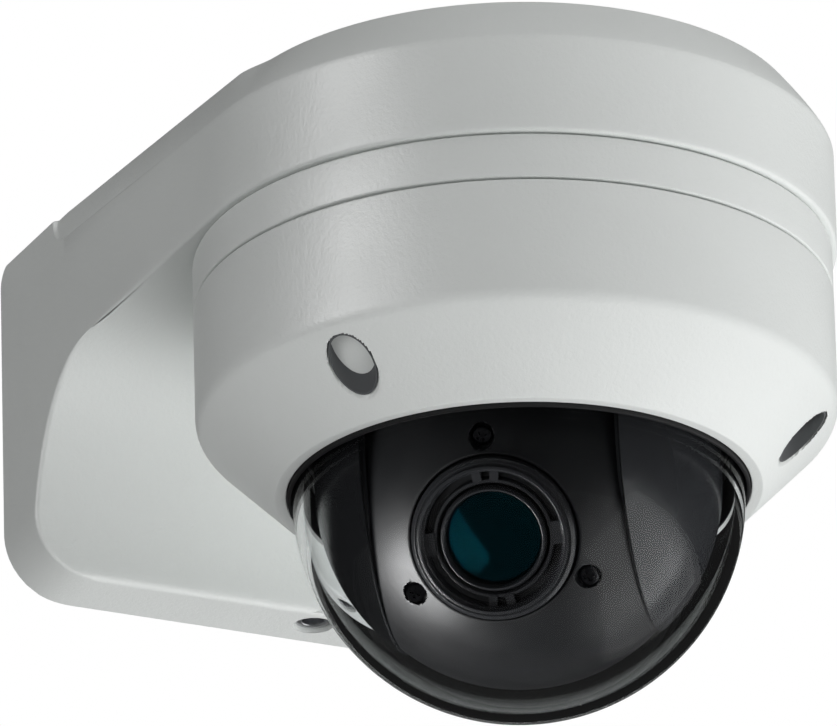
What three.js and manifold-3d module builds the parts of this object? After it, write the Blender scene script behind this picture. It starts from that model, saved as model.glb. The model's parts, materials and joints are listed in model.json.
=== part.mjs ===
// A pan-tilt mini dome camera on its wall bracket, as a three.js scene graph.
// Millimetres, +Z up. The wall is the plane y = 0 and the camera hangs out along -Y.
// The origin is the middle of the wall plate's back face.
import * as THREE from "three";
import { mergeVertices } from "three/addons/utils/BufferGeometryUtils.js";
import Module from "manifold-3d";

const wasm = await Module();
wasm.setup();

// ---------------------------------------------------------------- driving dimensions
const GAP = 0.3; // between pieces that rest on each other
const REACH = 103; // wall to pan axis
const BRACKET_R = 63; // bracket's disc, and half the wall box's width
const HOUSING_R = 62; // camera base and cover
const WALL_TOP = 35; // wall box, top
const WALL_BOTTOM = -35; // wall box, bottom
const RIM_Z = 5; // underside of the bracket's arm and disc
const CHAMFER_Z = 24.8; // where the disc's top chamfer starts
const CHAMFER_IN = 7; // how far the chamfer leans in at the top of the disc
const CHAMFER_RISE = 4.1; // how much higher the chamfer starts at the arm's root
const CHAMFER_ROOT = 0.8; // how far it leans in there
const SEAM_Z = -4.8; // joint between the base and the cover
const SHOULDER_Z = -28.5; // where the cover's cylinder turns into its cone
const MOUTH_Z = -43.6; // lower end of the cone
const MOUTH_R = 44.8; // the opening that the dome shows through
const LIP_R = 47; // outer edge of the flat lip round the opening
const DOME_Z = -44.6; // centre of the dome and of the eyeball
const DOME_R = 43.6;
const DOME_WALL = 2;
const BALL_R = 36.8; // tilting shell
const BALL_HALF = 24.5; // its half width along the tilt axis
const CHEEK_R = 39.3;
const CHEEK_UP = 2.5; // the cheeks' sphere is centred this much above the dome's centre
const CHEEK_IN = 25.1; // where the cheeks start along the tilt axis
const PAN_DEG = -36.4; // lens heading at rest, 0 is straight out from the wall
const TILT_DEG = 35; // lens below the horizontal at rest
const COVER_SCREW_R = 55;
const COVER_SCREW_DEG = [90, 210, 330];
const PAN_TEETH = 44;
const PAN_MODULE = 1.5;
const TILT_TEETH = 30;
const TILT_MODULE = 1.2;
const PINION_TEETH = 9;
const MESH_PLAY = 0.15; // extra centre distance of each gear pair

const FINE = 36; // sides of the big round pieces
const MEDIUM = 24;
const COARSE = 12;
const rad = THREE.MathUtils.degToRad;

// ---------------------------------------------------------------- solids
// A closed three.js geometry as a manifold-3d solid.
function solid(geometry) {
  const bare = new THREE.BufferGeometry();
  const flat = geometry.index ? geometry.toNonIndexed() : geometry;
  bare.setAttribute("position", flat.getAttribute("position"));
  const merged = mergeVertices(bare, 1e-4);
  const corners = [];
  for (let i = 0; i < merged.index.count; i += 3) {
    const [a, b, c] = [0, 1, 2].map((k) => merged.index.getX(i + k));
    if (a !== b && b !== c && a !== c) corners.push(a, b, c);
  }
  return new wasm.Manifold(
    new wasm.Mesh({
      numProp: 3,
      vertProperties: merged.attributes.position.array,
      triVerts: new Uint32Array(corners),
    }),
  );
}

function geometryOf(made) {
  const mesh = made.getMesh();
  const at = new Float32Array(mesh.numVert * 3);
  for (let i = 0; i < mesh.numVert; i++) {
    at.set(mesh.vertProperties.subarray(i * mesh.numProp, i * mesh.numProp + 3), i * 3);
  }
  const geometry = new THREE.BufferGeometry();
  geometry.setAttribute("position", new THREE.BufferAttribute(at, 3));
  geometry.setIndex(new THREE.BufferAttribute(new Uint32Array(mesh.triVerts), 1));
  geometry.computeVertexNormals();
  return geometry;
}

const signedArea = (points) =>
  points.reduce((sum, [x, y], i) => {
    const [nx, ny] = points[(i + 1) % points.length];
    return sum + (x * ny - nx * y) / 2;
  }, 0);

// A ring or round body about Z, from the outline [radius, z] of its section.
function turned(outline, sides = MEDIUM) {
  const loop = signedArea(outline) > 0 ? [...outline] : [...outline].reverse();
  const points = [...loop, loop[0]].map(([r, z]) => new THREE.Vector2(r, z));
  return solid(new THREE.LatheGeometry(points, sides).rotateX(Math.PI / 2));
}

const disc = (r, low, high, sides = MEDIUM) =>
  turned([[0, low], [r, low], [r, high], [0, high]], sides);

const ring = (inner, outer, low, high, sides = MEDIUM) =>
  turned([[inner, low], [outer, low], [outer, high], [inner, high]], sides);

function ball(r, sides = MEDIUM) {
  return solid(new THREE.SphereGeometry(r, sides, sides / 2).rotateX(Math.PI / 2));
}

// A box given by its two corners.
function box(low, high) {
  const [x, y, z] = high.map((v, i) => v - low[i]);
  const middle = high.map((v, i) => (v + low[i]) / 2);
  return solid(new THREE.BoxGeometry(x, y, z).translate(...middle));
}

// A flat shape [x, y] with any holes, raised from low to high along Z.
function raised(outline, low, high, holes = []) {
  const shape = new THREE.Shape(outline.map(([x, y]) => new THREE.Vector2(x, y)));
  for (const hole of holes) shape.holes.push(new THREE.Path(hole.map(([x, y]) => new THREE.Vector2(x, y))));
  const geometry = new THREE.ExtrudeGeometry(shape, { depth: high - low, bevelEnabled: false });
  return solid(geometry.translate(0, 0, low));
}

// Turn a solid made about Z so that it lies along X or Y.
const alongX = (made) => made.rotate([0, 90, 0]);
const alongY = (made) => made.rotate([-90, 0, 0]);

const arc = (cx, cy, r, from, to, steps) =>
  Array.from({ length: steps + 1 }, (_, i) => {
    const t = rad(from + ((to - from) * i) / steps);
    return [cx + r * Math.cos(t), cy + r * Math.sin(t)];
  });

const polar = (r, degrees) => [r * Math.cos(rad(degrees)), r * Math.sin(rad(degrees))];

// ---------------------------------------------------------------- finishes
const finish = (color, roughness, metalness = 0, opacity = 1) =>
  new THREE.MeshStandardMaterial({ color, roughness, metalness, opacity, transparent: opacity < 1 });
const whitePaint = finish(0xd9dddb, 0.55);
const blackPlastic = finish(0x17181b, 0.42);
const rubber = finish(0x0c0c0d, 0.8);
const steel = finish(0x9a9ca0, 0.35, 1);
const aluminium = finish(0xb9bcc0, 0.45, 1);
const brass = finish(0xb89450, 0.4, 1);
const greenBoard = finish(0x1d5a3a, 0.5);
const chipBlack = finish(0x1c1c1e, 0.5);
const clearDome = finish(0xeef2f4, 0.04, 0, 0.25);
const lensGlass = finish(0x0f2a38, 0.03, 0, 0.5);
const gearWhite = finish(0xe6e3d8, 0.5);

const root = new THREE.Group();
const cameraGroup = new THREE.Group(); // about the pan axis
cameraGroup.position.y = -REACH;
const panGroup = new THREE.Group();
panGroup.rotation.z = rad(PAN_DEG);
const tiltGroup = new THREE.Group(); // +X is the tilt axis and the lens looks along -Y
tiltGroup.position.z = DOME_Z;
const tiltBody = new THREE.Group();
tiltBody.rotation.x = rad(TILT_DEG);
root.add(cameraGroup);
cameraGroup.add(panGroup);
panGroup.add(tiltGroup);
tiltGroup.add(tiltBody);

function add(parent, name, made, material, place = [0, 0, 0], turn = 0) {
  const mesh = new THREE.Mesh(geometryOf(made), material);
  mesh.name = name;
  mesh.position.set(...place);
  mesh.rotation.z = rad(turn);
  parent.add(mesh);
  return mesh;
}

// ---------------------------------------------------------------- wall bracket
const WALL = 3.2; // thickness of the casting
const PLATE_T = 2.5; // steel wall plate
const BOX_DEPTH = 14.5; // wall box at its bottom
const BOX_CORNER = 13; // its lower corners
const CHAMFER_END = -28; // where the chamfer stops, from the wall
const CABLE_R = 15; // cable hole through the disc
const PLATE_HOLE_R = 11.5; // cable hole through the wall plate
const PLATE_HOLE_Z = 16;
const LOCK_Y = -8.2;
const LOCK_R = 4;
const MOUNT_SCREW_R = 40;
const MOUNT_SCREW_DEG = [0, 120, 240];

// Side profile of the wall box and the arm's start, [y, z]; inset shrinks it for the hollow.
function boxProfile(inset) {
  const back = inset ? 1 : 0; // the hollow runs out through the back
  return [
    [back, WALL_BOTTOM + inset],
    [-BOX_DEPTH + inset, WALL_BOTTOM + inset],
    [-BOX_DEPTH - 0.9 + inset, -24.8],
    [-BOX_DEPTH - 5 + inset, -13.5],
    [-BOX_DEPTH - 9 + inset, -5 + inset * 0.3],
    [-BOX_DEPTH - 12.6 + inset, 0.4 + inset * 0.7],
    [-BOX_DEPTH - 17.5 + inset * 0.6, 2.9 + inset],
    [-BOX_DEPTH - 23 + inset * 0.3, 4.4 + inset],
    [-BOX_DEPTH - 29, RIM_Z + inset],
    [-BOX_DEPTH - 29, WALL_TOP - inset],
    ...(inset ? [[back, WALL_TOP - inset]] : arc(-5, WALL_TOP - 5, 5, 90, 0, 4)),
  ];
}

// Front outline of the wall box, [x, z], with round lower corners.
function boxFront(inset) {
  const half = BRACKET_R - inset;
  const low = WALL_BOTTOM + inset;
  const corner = BOX_CORNER - inset;
  return [
    ...arc(half - corner, low + corner, corner, -90, 0, 6),
    [half, WALL_TOP - inset],
    [-half, WALL_TOP - inset],
    ...arc(-half + corner, low + corner, corner, 180, 270, 6),
  ];
}

function wallBox(inset) {
  const half = BRACKET_R - inset;
  const side = raised(boxProfile(inset), -half, half).rotate([90, 0, 90]);
  const front = raised(boxFront(inset), -90, 90).rotate([90, 0, 0]);
  return side.intersect(front);
}

// Plan of the arm and its disc, [x, y], as seen from above.
const armPlan = (r, back) => [[-r, back], ...arc(0, -REACH, r, 180, 360, FINE / 2), [r, back]];

function bracket() {
  const topR = BRACKET_R - CHAMFER_IN;
  const rootHalf = BRACKET_R - CHAMFER_ROOT;
  const arm = wasm.Manifold.hull([
    raised(armPlan(BRACKET_R, 0), RIM_Z, CHAMFER_Z),
    box([-BRACKET_R, CHAMFER_END, RIM_Z], [BRACKET_R, 0, CHAMFER_Z + CHAMFER_RISE]),
    disc(topR, WALL_TOP - 0.01, WALL_TOP, FINE).translate([0, -REACH, 0]),
    box([-rootHalf, CHAMFER_END, WALL_TOP - 0.01], [rootHalf, 0, WALL_TOP]),
  ]);
  const block = box([-BRACKET_R, CHAMFER_END, RIM_Z], [BRACKET_R, 0, WALL_TOP]);
  const foot = wallBox(0).intersect(box([-BRACKET_R, -60, WALL_BOTTOM], [BRACKET_R, 0, RIM_Z + 5]));
  const backEdge = box([-BRACKET_R - 1, -5, WALL_TOP - 5], [BRACKET_R + 1, 1, WALL_TOP + 1]).subtract(
    disc(5, -BRACKET_R - 2, BRACKET_R + 2, 24).rotate([0, 90, 0]).translate([0, -5, WALL_TOP - 5]),
  );
  const outer = wasm.Manifold.union([arm, block, foot]).subtract(backEdge);
  const hollow = raised(armPlan(topR - WALL, -6), RIM_Z + WALL, WALL_TOP - WALL);
  const posts = MOUNT_SCREW_DEG.map((d) => {
    const [x, y] = polar(MOUNT_SCREW_R, d);
    return disc(4.5, RIM_Z + 1, RIM_Z + 12, COARSE).translate([x, y - REACH, 0]);
  });
  const screwHoles = MOUNT_SCREW_DEG.map((d) => {
    const [x, y] = polar(MOUNT_SCREW_R, d);
    return disc(2.3, RIM_Z - 1, RIM_Z + 10, COARSE).translate([x, y - REACH, 0]);
  });
  const lockBoss = disc(LOCK_R + 2.5, WALL_BOTTOM + 1, WALL_BOTTOM + 8, COARSE)
    .translate([0, LOCK_Y, 0])
    .intersect(box([-20, -30, WALL_BOTTOM], [20, -PLATE_T - GAP, 0]));
  return outer
    .subtract(hollow.add(wallBox(WALL)))
    .add(wasm.Manifold.union(posts))
    .subtract(wasm.Manifold.union(screwHoles))
    .subtract(disc(CABLE_R, RIM_Z - 1, RIM_Z + WALL + 1, 24).translate([0, -REACH, 0]))
    .add(lockBoss)
    .subtract(disc(LOCK_R, WALL_BOTTOM - 1, WALL_BOTTOM + 9, COARSE).translate([0, LOCK_Y, 0]));
}

function wallPlate() {
  const half = BRACKET_R - WALL - 0.5;
  const low = WALL_BOTTOM + WALL + 0.5;
  const corner = BOX_CORNER - WALL;
  const outline = [
    ...arc(half - corner, low + corner, corner, -90, 0, 4),
    [half, 28.5],
    [-half, 28.5],
    ...arc(-half + corner, low + corner, corner, 180, 270, 4),
  ];
  const holes = [arc(0, PLATE_HOLE_Z, PLATE_HOLE_R, 0, 345, 23)];
  for (const x of [-44, 44]) {
    for (const z of [-18, 18]) holes.push(arc(x, z, 2.8, 0, 330, 11));
  }
  return raised(outline, 0, PLATE_T, holes).rotate([90, 0, 0]);
}

function lockScrew() {
  const thread = disc(LOCK_R - GAP, 0.8, 8, COARSE);
  const socket = disc(2.3, 0, 3.5, 6);
  return thread.subtract(socket).translate([0, LOCK_Y, WALL_BOTTOM]);
}

add(root, "wall_bracket", bracket(), whitePaint);
add(root, "wall_plate", wallPlate(), steel);
add(root, "lock_screw", lockScrew(), steel);

// ---------------------------------------------------------------- camera base
const BASE_TOP = RIM_Z - GAP;
const BASE_T = 3.2;
const TONGUE_R = 56.6;
const BOSS_END = -10.2;

function baseCasting() {
  const under = BASE_TOP - BASE_T;
  const shell = turned(
    [
      [CABLE_R - 4, under], [CABLE_R - 4, BASE_TOP], [HOUSING_R, BASE_TOP], [HOUSING_R, SEAM_Z + GAP],
      [TONGUE_R, SEAM_Z + GAP], [TONGUE_R, -9], [TONGUE_R - 2.4, -9], [TONGUE_R - 2.4, under],
    ],
    FINE,
  );
  const bosses = COVER_SCREW_DEG.map((d) => {
    const [x, y] = polar(COVER_SCREW_R - 1.2, d);
    return disc(4.2, BOSS_END, under + 1, COARSE).translate([x, y, 0]);
  });
  const keep = disc(TONGUE_R, BOSS_END - 1, 2, FINE);
  const pillars = CHASSIS_SCREW_DEG.map((d) => {
    const [x, y] = polar(CHASSIS_SCREW_R, d);
    return disc(3.2, CHASSIS_TOP + GAP, under + 1, COARSE).translate([x, y, 0]);
  });
  const holes = [
    ...COVER_SCREW_DEG.map((d) => [...polar(COVER_SCREW_R, d), 1.8, BOSS_END - 1, 0.5]),
    ...CHASSIS_SCREW_DEG.map((d) => [...polar(CHASSIS_SCREW_R, d), 1.4, CHASSIS_TOP - 1, 1]),
    ...MOUNT_SCREW_DEG.map((d) => [...polar(MOUNT_SCREW_R, d), 2.3, -1, BASE_TOP + 1]),
  ].map(([x, y, r, low, high]) => disc(r, low, high, COARSE).translate([x, y, 0]));
  return shell
    .add(wasm.Manifold.union(bosses).intersect(keep))
    .add(wasm.Manifold.union(pillars))
    .subtract(wasm.Manifold.union(holes));
}

// A pan-head or cap screw: head below, shank up, about Z, with a driver socket in the head.
function screw(headR, headH, shankR, length, sides = 10) {
  const body = turned(
    [[0, 0], [headR, 0], [headR, headH], [shankR, headH], [shankR, headH + length], [0, headH + length]],
    sides,
  );
  return body.subtract(disc(headR * 0.5, -0.5, headH * 0.55, 6));
}

const CHASSIS_TOP = -3.4;
const CHASSIS_T = 1.8;
const CHASSIS_SCREW_DEG = [35, 155, 275];
const CHASSIS_SCREW_R = 43.5;
const BOARD_TOP = 0.3;
const BOARD_T = 1.6;

add(cameraGroup, "base_casting", baseCasting(), whitePaint);
MOUNT_SCREW_DEG.forEach((d, i) => {
  const [x, y] = polar(MOUNT_SCREW_R, d);
  const headH = 0.9; // low heads, because the board lies just under them
  const headZ = BASE_TOP - BASE_T - GAP - headH;
  add(cameraGroup, `mount_screw_${i + 1}`, screw(3.6, headH, 2, 12), steel, [x, y, headZ]);
});
add(
  cameraGroup,
  "cable_grommet",
  turned([
    [6, 1.2], [8.5, 1.2], [10.6, BASE_TOP - BASE_T - 0.1], [10.6, 8.6], [13, 8.8], [13, 10.4], [6, 10.6],
  ], 16),
  rubber,
);
add(cameraGroup, "cover_seal", ring(56.9, 57.7, -8.2, -6.8, FINE), rubber);

// ---------------------------------------------------------------- dome cover
const COVER_WALL = 3;
const RECESS_R = 4.7;
const RECESS_TOP = -14;
const COVER_BOSS_R = RECESS_R + 1.5;
const LEDGE_Z = -38;
const CLAMP_SCREW_DEG = [30, 150, 270];
const CLAMP_SCREW_R = 49.9;

function domeCover() {
  const inner = HOUSING_R - COVER_WALL;
  const shell = turned(
    [
      [HOUSING_R, SEAM_Z], [HOUSING_R, SHOULDER_Z], [LIP_R, MOUTH_Z], [MOUTH_R, MOUTH_Z], [MOUTH_R, LEDGE_Z],
      [48.1, LEDGE_Z], [inner, SHOULDER_Z + 1.2], [inner, SEAM_Z],
    ],
    FINE,
  );
  const within = HOUSING_R - 0.4;
  const inside = turned(
    [[0, 0], [within, 0], [within, SHOULDER_Z], [LIP_R, MOUTH_Z + 0.3], [0, MOUTH_Z + 0.3]],
    FINE,
  );
  const bosses = COVER_SCREW_DEG.map((d) => {
    const [x, y] = polar(COVER_SCREW_R, d);
    return disc(COVER_BOSS_R, -42, BOSS_END - GAP, MEDIUM).translate([x, y, 0]);
  });
  const throat = disc(48.1, -60, LEDGE_Z + 20, FINE);
  const clampBosses = CLAMP_SCREW_DEG.map((d) => {
    const [x, y] = polar(CLAMP_SCREW_R, d);
    return disc(2.1, LEDGE_Z - 2, CLAMP_Z - GAP, 12).translate([x, y, 0]);
  });
  const drilled = [
    ...COVER_SCREW_DEG.map((d) => [...polar(COVER_SCREW_R, d), RECESS_R, -60, RECESS_TOP, 24]),
    ...COVER_SCREW_DEG.map((d) => [...polar(COVER_SCREW_R, d), 1.9, -20, 0, 12]),
    ...CLAMP_SCREW_DEG.map((d) => [...polar(CLAMP_SCREW_R, d), 1.2, CLAMP_Z - 2.2, 0, COARSE]),
  ].map(([x, y, r, low, high, sides]) => disc(r, low, high, sides).translate([x, y, 0]));
  return shell
    .add(wasm.Manifold.union(bosses).intersect(inside).subtract(throat))
    .add(wasm.Manifold.union(clampBosses).intersect(inside))
    .subtract(wasm.Manifold.union(drilled));
}

const CLAMP_Z = -34.6;
const CLAMP_T = 1.6;
const SKIRT_R = 48.4;
const SKIRT_TOP = -13;

add(cameraGroup, "dome_cover", domeCover(), whitePaint);
COVER_SCREW_DEG.forEach((d, i) => {
  const [x, y] = polar(COVER_SCREW_R, d);
  add(cameraGroup, `cover_screw_${i + 1}`, screw(3.4, 3, 1.5, 13), steel, [x, y, RECESS_TOP - GAP - 3]);
});
add(
  cameraGroup,
  "dome_seal",
  turned(
    [[43.9, -44.1], [44.5, -44.1], [44.5, LEDGE_Z + GAP], [47.7, LEDGE_Z + GAP], [47.7, LEDGE_Z + 1],
      [43.9, LEDGE_Z + 1]],
    FINE,
  ),
  rubber,
);

function domeBubble() {
  const inner = DOME_R - DOME_WALL;
  const flange = LEDGE_Z + 1.3;
  const steps = 7;
  const outside = arc(0, DOME_Z, DOME_R, -90, 0, steps);
  const inside = arc(0, DOME_Z, inner, 0, -90, steps);
  outside[0][0] = 0;
  inside[steps][0] = 0;
  const flangeTop = flange + 1.8;
  return turned(
    [...outside, [DOME_R, flange], [47.3, flange], [47.3, flangeTop], [inner, flangeTop], ...inside],
    32,
  );
}

add(cameraGroup, "dome_bubble", domeBubble(), clearDome);

// The ring that presses the dome's flange down, with a flared skirt that screens the drives from view.
function domeClampRing() {
  const high = CLAMP_Z + CLAMP_T;
  const skirt = turned(
    [[40.7, CLAMP_Z], [43, CLAMP_Z], [SKIRT_R, -27], [SKIRT_R, SKIRT_TOP], [SKIRT_R - 1.2, SKIRT_TOP],
      [SKIRT_R - 1.2, -26.4], [40.7, high]],
    FINE,
  );
  const cuts = [
    ...CLAMP_SCREW_DEG.map((d) => [...polar(CLAMP_SCREW_R - 0.4, d), 1.9]),
    ...COVER_SCREW_DEG.map((d) => [...polar(COVER_SCREW_R, d), COVER_BOSS_R + 0.4]),
  ].map(([x, y, r]) => disc(r, CLAMP_Z - 1, CLAMP_Z + 4).translate([x, y, 0]));
  const flange = ring(40.7, 50.6, CLAMP_Z, high, FINE).subtract(wasm.Manifold.union(cuts));
  return flange.add(skirt);
}

add(cameraGroup, "dome_clamp_ring", domeClampRing(), blackPlastic);
CLAMP_SCREW_DEG.forEach((d, i) => {
  const [x, y] = polar(CLAMP_SCREW_R, d);
  const made = screw(2.4, 1.2, 0.9, 3.6, 10).rotate([180, 0, 0]);
  add(cameraGroup, `clamp_screw_${i + 1}`, made, steel, [x, y, CLAMP_Z + CLAMP_T + GAP + 1.2]);
});

// ---------------------------------------------------------------- electronics
const BUTTON_DEG = 30;
const BUTTON_R = 50.5;

function mainBoard() {
  const tab = box([40, -4.5, BOARD_TOP - BOARD_T], [53.2, 4.5, BOARD_TOP]).rotate([0, 0, BUTTON_DEG]);
  const holes = CHASSIS_SCREW_DEG.map((d) => {
    const [x, y] = polar(CHASSIS_SCREW_R, d);
    return disc(3.6, -5, 5, COARSE).translate([x, y, 0]);
  });
  return ring(12, 47.5, BOARD_TOP - BOARD_T, BOARD_TOP, FINE).add(tab).subtract(wasm.Manifold.union(holes));
}

add(cameraGroup, "main_board", mainBoard(), greenBoard);
add(cameraGroup, "processor", box([14.5, -6.5, -2.6], [27.5, 6.5, -1.6]), chipBlack, [0, 0, 0], 200);
add(cameraGroup, "network_socket", box([-37, -5, -4.9], [-29, 5, -1.6]), gearWhite, [0, 0, 0], 90);
const resetSwitch = box([BUTTON_R - 3, -3, -3.4], [BUTTON_R + 2.4, 3, -1.6]);
const buttonSpot = polar(BUTTON_R - 0.3, BUTTON_DEG);
add(cameraGroup, "reset_switch", resetSwitch, chipBlack, [0, 0, 0], BUTTON_DEG);
add(cameraGroup, "reset_button", disc(1.6, -4.9, -3.7, COARSE), rubber, [...buttonSpot, 0]);

// ---------------------------------------------------------------- pan drive
const RACE_LOW = -7.2;
const HUB_R = 14.7;
const PAN_GEAR_LOW = -10.3;
const PAN_GEAR_HIGH = -7.6;
const PAN_GEAR_R = (PAN_TEETH * PAN_MODULE) / 2;
const PAN_PINION_R = (PINION_TEETH * PAN_MODULE) / 2;
const PAN_MOTOR_R = PAN_GEAR_R + PAN_PINION_R + MESH_PLAY;
const MOTOR_R = 6.5;

function chassisPlate() {
  const low = CHASSIS_TOP - CHASSIS_T;
  const plate = turned(
    [[22.8, RACE_LOW], [25.5, RACE_LOW], [25.5, low], [48, low], [48, CHASSIS_TOP], [21.2, CHASSIS_TOP],
      [21.2, CHASSIS_TOP - 0.5], [22.8, CHASSIS_TOP - 0.5]],
    FINE,
  );
  const window = box([-39, -7, -9], [-27, 7, 0]).rotate([0, 0, 90]); // lets the network socket through
  const holes = CHASSIS_SCREW_DEG.map((d) => {
    const [x, y] = polar(CHASSIS_SCREW_R, d);
    return disc(1.6, -9, 0, COARSE).translate([x, y, 0]);
  });
  return plate.subtract(wasm.Manifold.union([window, ...holes]));
}

function motor(length) {
  return turned([[0, 0], [2, 0], [2, 0.8], [MOTOR_R, 0.8], [MOTOR_R, length], [0, length]], MEDIUM);
}

// A spur gear about Z: each tooth is a trapezium with its flanks bent at the pitch line.
function gear(teeth, module, low, high, holeR, thin = 0.1) {
  const pitchR = (teeth * module) / 2;
  const quarter = (Math.PI * module) / 4;
  const flank = [
    [pitchR - 1.2 * module, quarter * 1.5 - thin * module],
    [pitchR + 0.8 * module, quarter * 0.6 - thin * module],
  ];
  const outline = [];
  for (let i = 0; i < teeth; i++) {
    const middle = (i / teeth) * 2 * Math.PI;
    const corner = (r, angle) => [r * Math.cos(angle), r * Math.sin(angle)];
    const side = (sign, list) => list.map(([r, half]) => corner(r, middle + (sign * half) / r));
    outline.push(...side(-1, flank), ...side(1, [...flank].reverse()));
  }
  return raised(outline, low, high, holeR ? [arc(0, 0, holeR, 0, 350, 35)] : []);
}

// Angle that puts a pinion in mesh with a gear that it sits beside in that direction; all in degrees.
function meshAngle(direction, gearAngle, gearTeeth) {
  const phase = ((direction - gearAngle) * gearTeeth) / 360;
  return direction + 180 - ((0.5 - phase) * 360) / PINION_TEETH;
}

// The fixed gear that the pan pinion walks round, with the collar that holds it under the chassis.
function panGear() {
  const collar = ring(26.5, 30, PAN_GEAR_LOW, CHASSIS_TOP - CHASSIS_T - GAP);
  return gear(PAN_TEETH, PAN_MODULE, PAN_GEAR_LOW, PAN_GEAR_HIGH, 28).add(collar);
}

add(cameraGroup, "chassis_plate", chassisPlate(), steel);
CHASSIS_SCREW_DEG.forEach((d, i) => {
  const [x, y] = polar(CHASSIS_SCREW_R, d);
  const headZ = CHASSIS_TOP - CHASSIS_T - GAP - 1.2;
  add(cameraGroup, `chassis_screw_${i + 1}`, screw(2.6, 1.2, 1.1, 5.2, 10), steel, [x, y, headZ]);
});
add(cameraGroup, "pan_bearing_outer", ring(20, 22.5, RACE_LOW, CHASSIS_TOP - 0.8, MEDIUM), steel);
add(cameraGroup, "pan_gear", panGear(), gearWhite);

// ---------------------------------------------------------------- pan head
const YOKE_LOW = -12.6;
const YOKE_HIGH = -10.6;
const ARM_IN = 26;
const ARM_OUT = 28.4;
const ARM_HALF = 12;
const BUSH_R = 5;
const TILT_GEAR_R = (TILT_TEETH * TILT_MODULE) / 2;
const TILT_PINION_R = (PINION_TEETH * TILT_MODULE) / 2;
const TILT_MOTOR_UP = TILT_GEAR_R + TILT_PINION_R + MESH_PLAY;

function yoke() {
  const ear = box([-8, 25, YOKE_LOW], [8, PAN_MOTOR_R, YOKE_HIGH]).add(
    disc(8, YOKE_LOW, YOKE_HIGH).translate([0, PAN_MOTOR_R, 0]),
  );
  const panMotorHole = disc(2.6, -20, 0, COARSE).translate([0, PAN_MOTOR_R, 0]);
  const plate = ring(10, 33.5, YOKE_LOW, YOKE_HIGH, FINE);
  const hub = ring(10, HUB_R, YOKE_LOW, -2.6, MEDIUM);
  const armOutline = [
    ...arc(0, 0, ARM_HALF, 180, 360, 10),
    [ARM_HALF, YOKE_LOW - DOME_Z + 0.5],
    [-ARM_HALF, YOKE_LOW - DOME_Z + 0.5],
  ]; // [y, z from the tilt axis]
  const arms = [-1, 1].map((side) => {
    const low = side > 0 ? ARM_IN : -ARM_OUT;
    return raised(armOutline, low, low + ARM_OUT - ARM_IN).rotate([90, 0, 90]).translate([0, 0, DOME_Z]);
  });
  const axleHole = alongX(disc(BUSH_R + GAP, -40, 40, 24)).translate([0, 0, DOME_Z]);
  const motorHole = alongX(disc(2.6, 20, 40, COARSE)).translate([0, 0, DOME_Z + TILT_MOTOR_UP]);
  const pinHoles = alongX(disc(1.8, -40, 40, 12)).translate([0, 0, DOME_Z + 9]);
  const holes = [panMotorHole, axleHole, motorHole, pinHoles];
  return wasm.Manifold.union([plate, ear, hub, ...arms]).subtract(wasm.Manifold.union(holes));
}

// A cheek cover: part of a thin sphere with a short wall above it, and a pin that clips into the yoke.
function cheek() {
  const wall = 1.8;
  const centre = CHEEK_UP;
  const top = CHEEK_UP + 9.5;
  const steps = 9;
  const outside = arc(0, centre, CHEEK_R, -90, 0, steps);
  const inside = arc(0, centre, CHEEK_R - wall, 0, -90, steps);
  outside[0][0] = 0;
  inside[steps][0] = 0;
  const bowl = turned([...outside, [CHEEK_R, top], [CHEEK_R - wall, top], ...inside], FINE);
  const cut = box([CHEEK_IN, -50, -50], [50, 50, 50]);
  const stem = disc(3.2, ARM_OUT + GAP, CHEEK_R - 1, COARSE);
  const pin = alongX(stem.add(disc(1.4, ARM_IN + 0.3, ARM_OUT + 2, COARSE)));
  return bowl.intersect(cut).add(pin.translate([0, 0, 9]));
}

add(panGroup, "pan_bearing_inner", ring(HUB_R + GAP, 17, RACE_LOW, CHASSIS_TOP - 0.8, MEDIUM), steel);
add(panGroup, "pan_motor", motor(12.5).rotate([180, 0, 0]), steel, [0, PAN_MOTOR_R, YOKE_LOW - GAP]);
const panPinion = gear(PINION_TEETH, PAN_MODULE, PAN_GEAR_LOW, PAN_GEAR_HIGH, 0).add(
  disc(1, YOKE_LOW, PAN_GEAR_LOW + 1, COARSE),
);
const panMesh = meshAngle(90 + PAN_DEG, 0, PAN_TEETH) - PAN_DEG;
add(panGroup, "pan_pinion", panPinion, brass, [0, PAN_MOTOR_R, 0], panMesh);
add(panGroup, "bearing_clip", ring(HUB_R + GAP, 17.4, CHASSIS_TOP - 0.4, CHASSIS_TOP + 0.4, MEDIUM), steel);
add(panGroup, "yoke", yoke(), aluminium);
add(tiltGroup, "right_cheek", cheek(), blackPlastic);
add(tiltGroup, "left_cheek", cheek().rotate([0, 0, 180]), blackPlastic);
add(tiltGroup, "tilt_motor", alongX(motor(11.7)), steel, [ARM_OUT + GAP, 0, TILT_MOTOR_UP]);
for (const [name, side] of [["right", 1], ["left", -1]]) {
  const bush = alongX(
    turned([[3.35, 25], [6.4, 25], [6.4, 25.7], [BUSH_R, 25.7], [BUSH_R, 28.7], [3.35, 28.7]], 16),
  );
  add(tiltGroup, `${name}_bush`, side > 0 ? bush : bush.rotate([0, 0, 180]), brass);
}

const TILT_GEAR_LOW = 21.7;
const TILT_GEAR_HIGH = 24.2;
const tiltPinion = gear(PINION_TEETH, TILT_MODULE, TILT_GEAR_LOW, TILT_GEAR_HIGH, 0)
  .add(disc(1, TILT_GEAR_HIGH - 1, 28.4, 12))
  .rotate([0, 0, meshAngle(90, TILT_DEG, TILT_TEETH)]);
// Gears on the tilt axis are made about Z and turned so that Z becomes X, X becomes Y and Y becomes Z.
const ontoTiltAxis = (made) => made.rotate([90, 0, 90]);
add(tiltGroup, "tilt_pinion", ontoTiltAxis(tiltPinion), brass, [0, 0, TILT_MOTOR_UP]);

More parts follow.
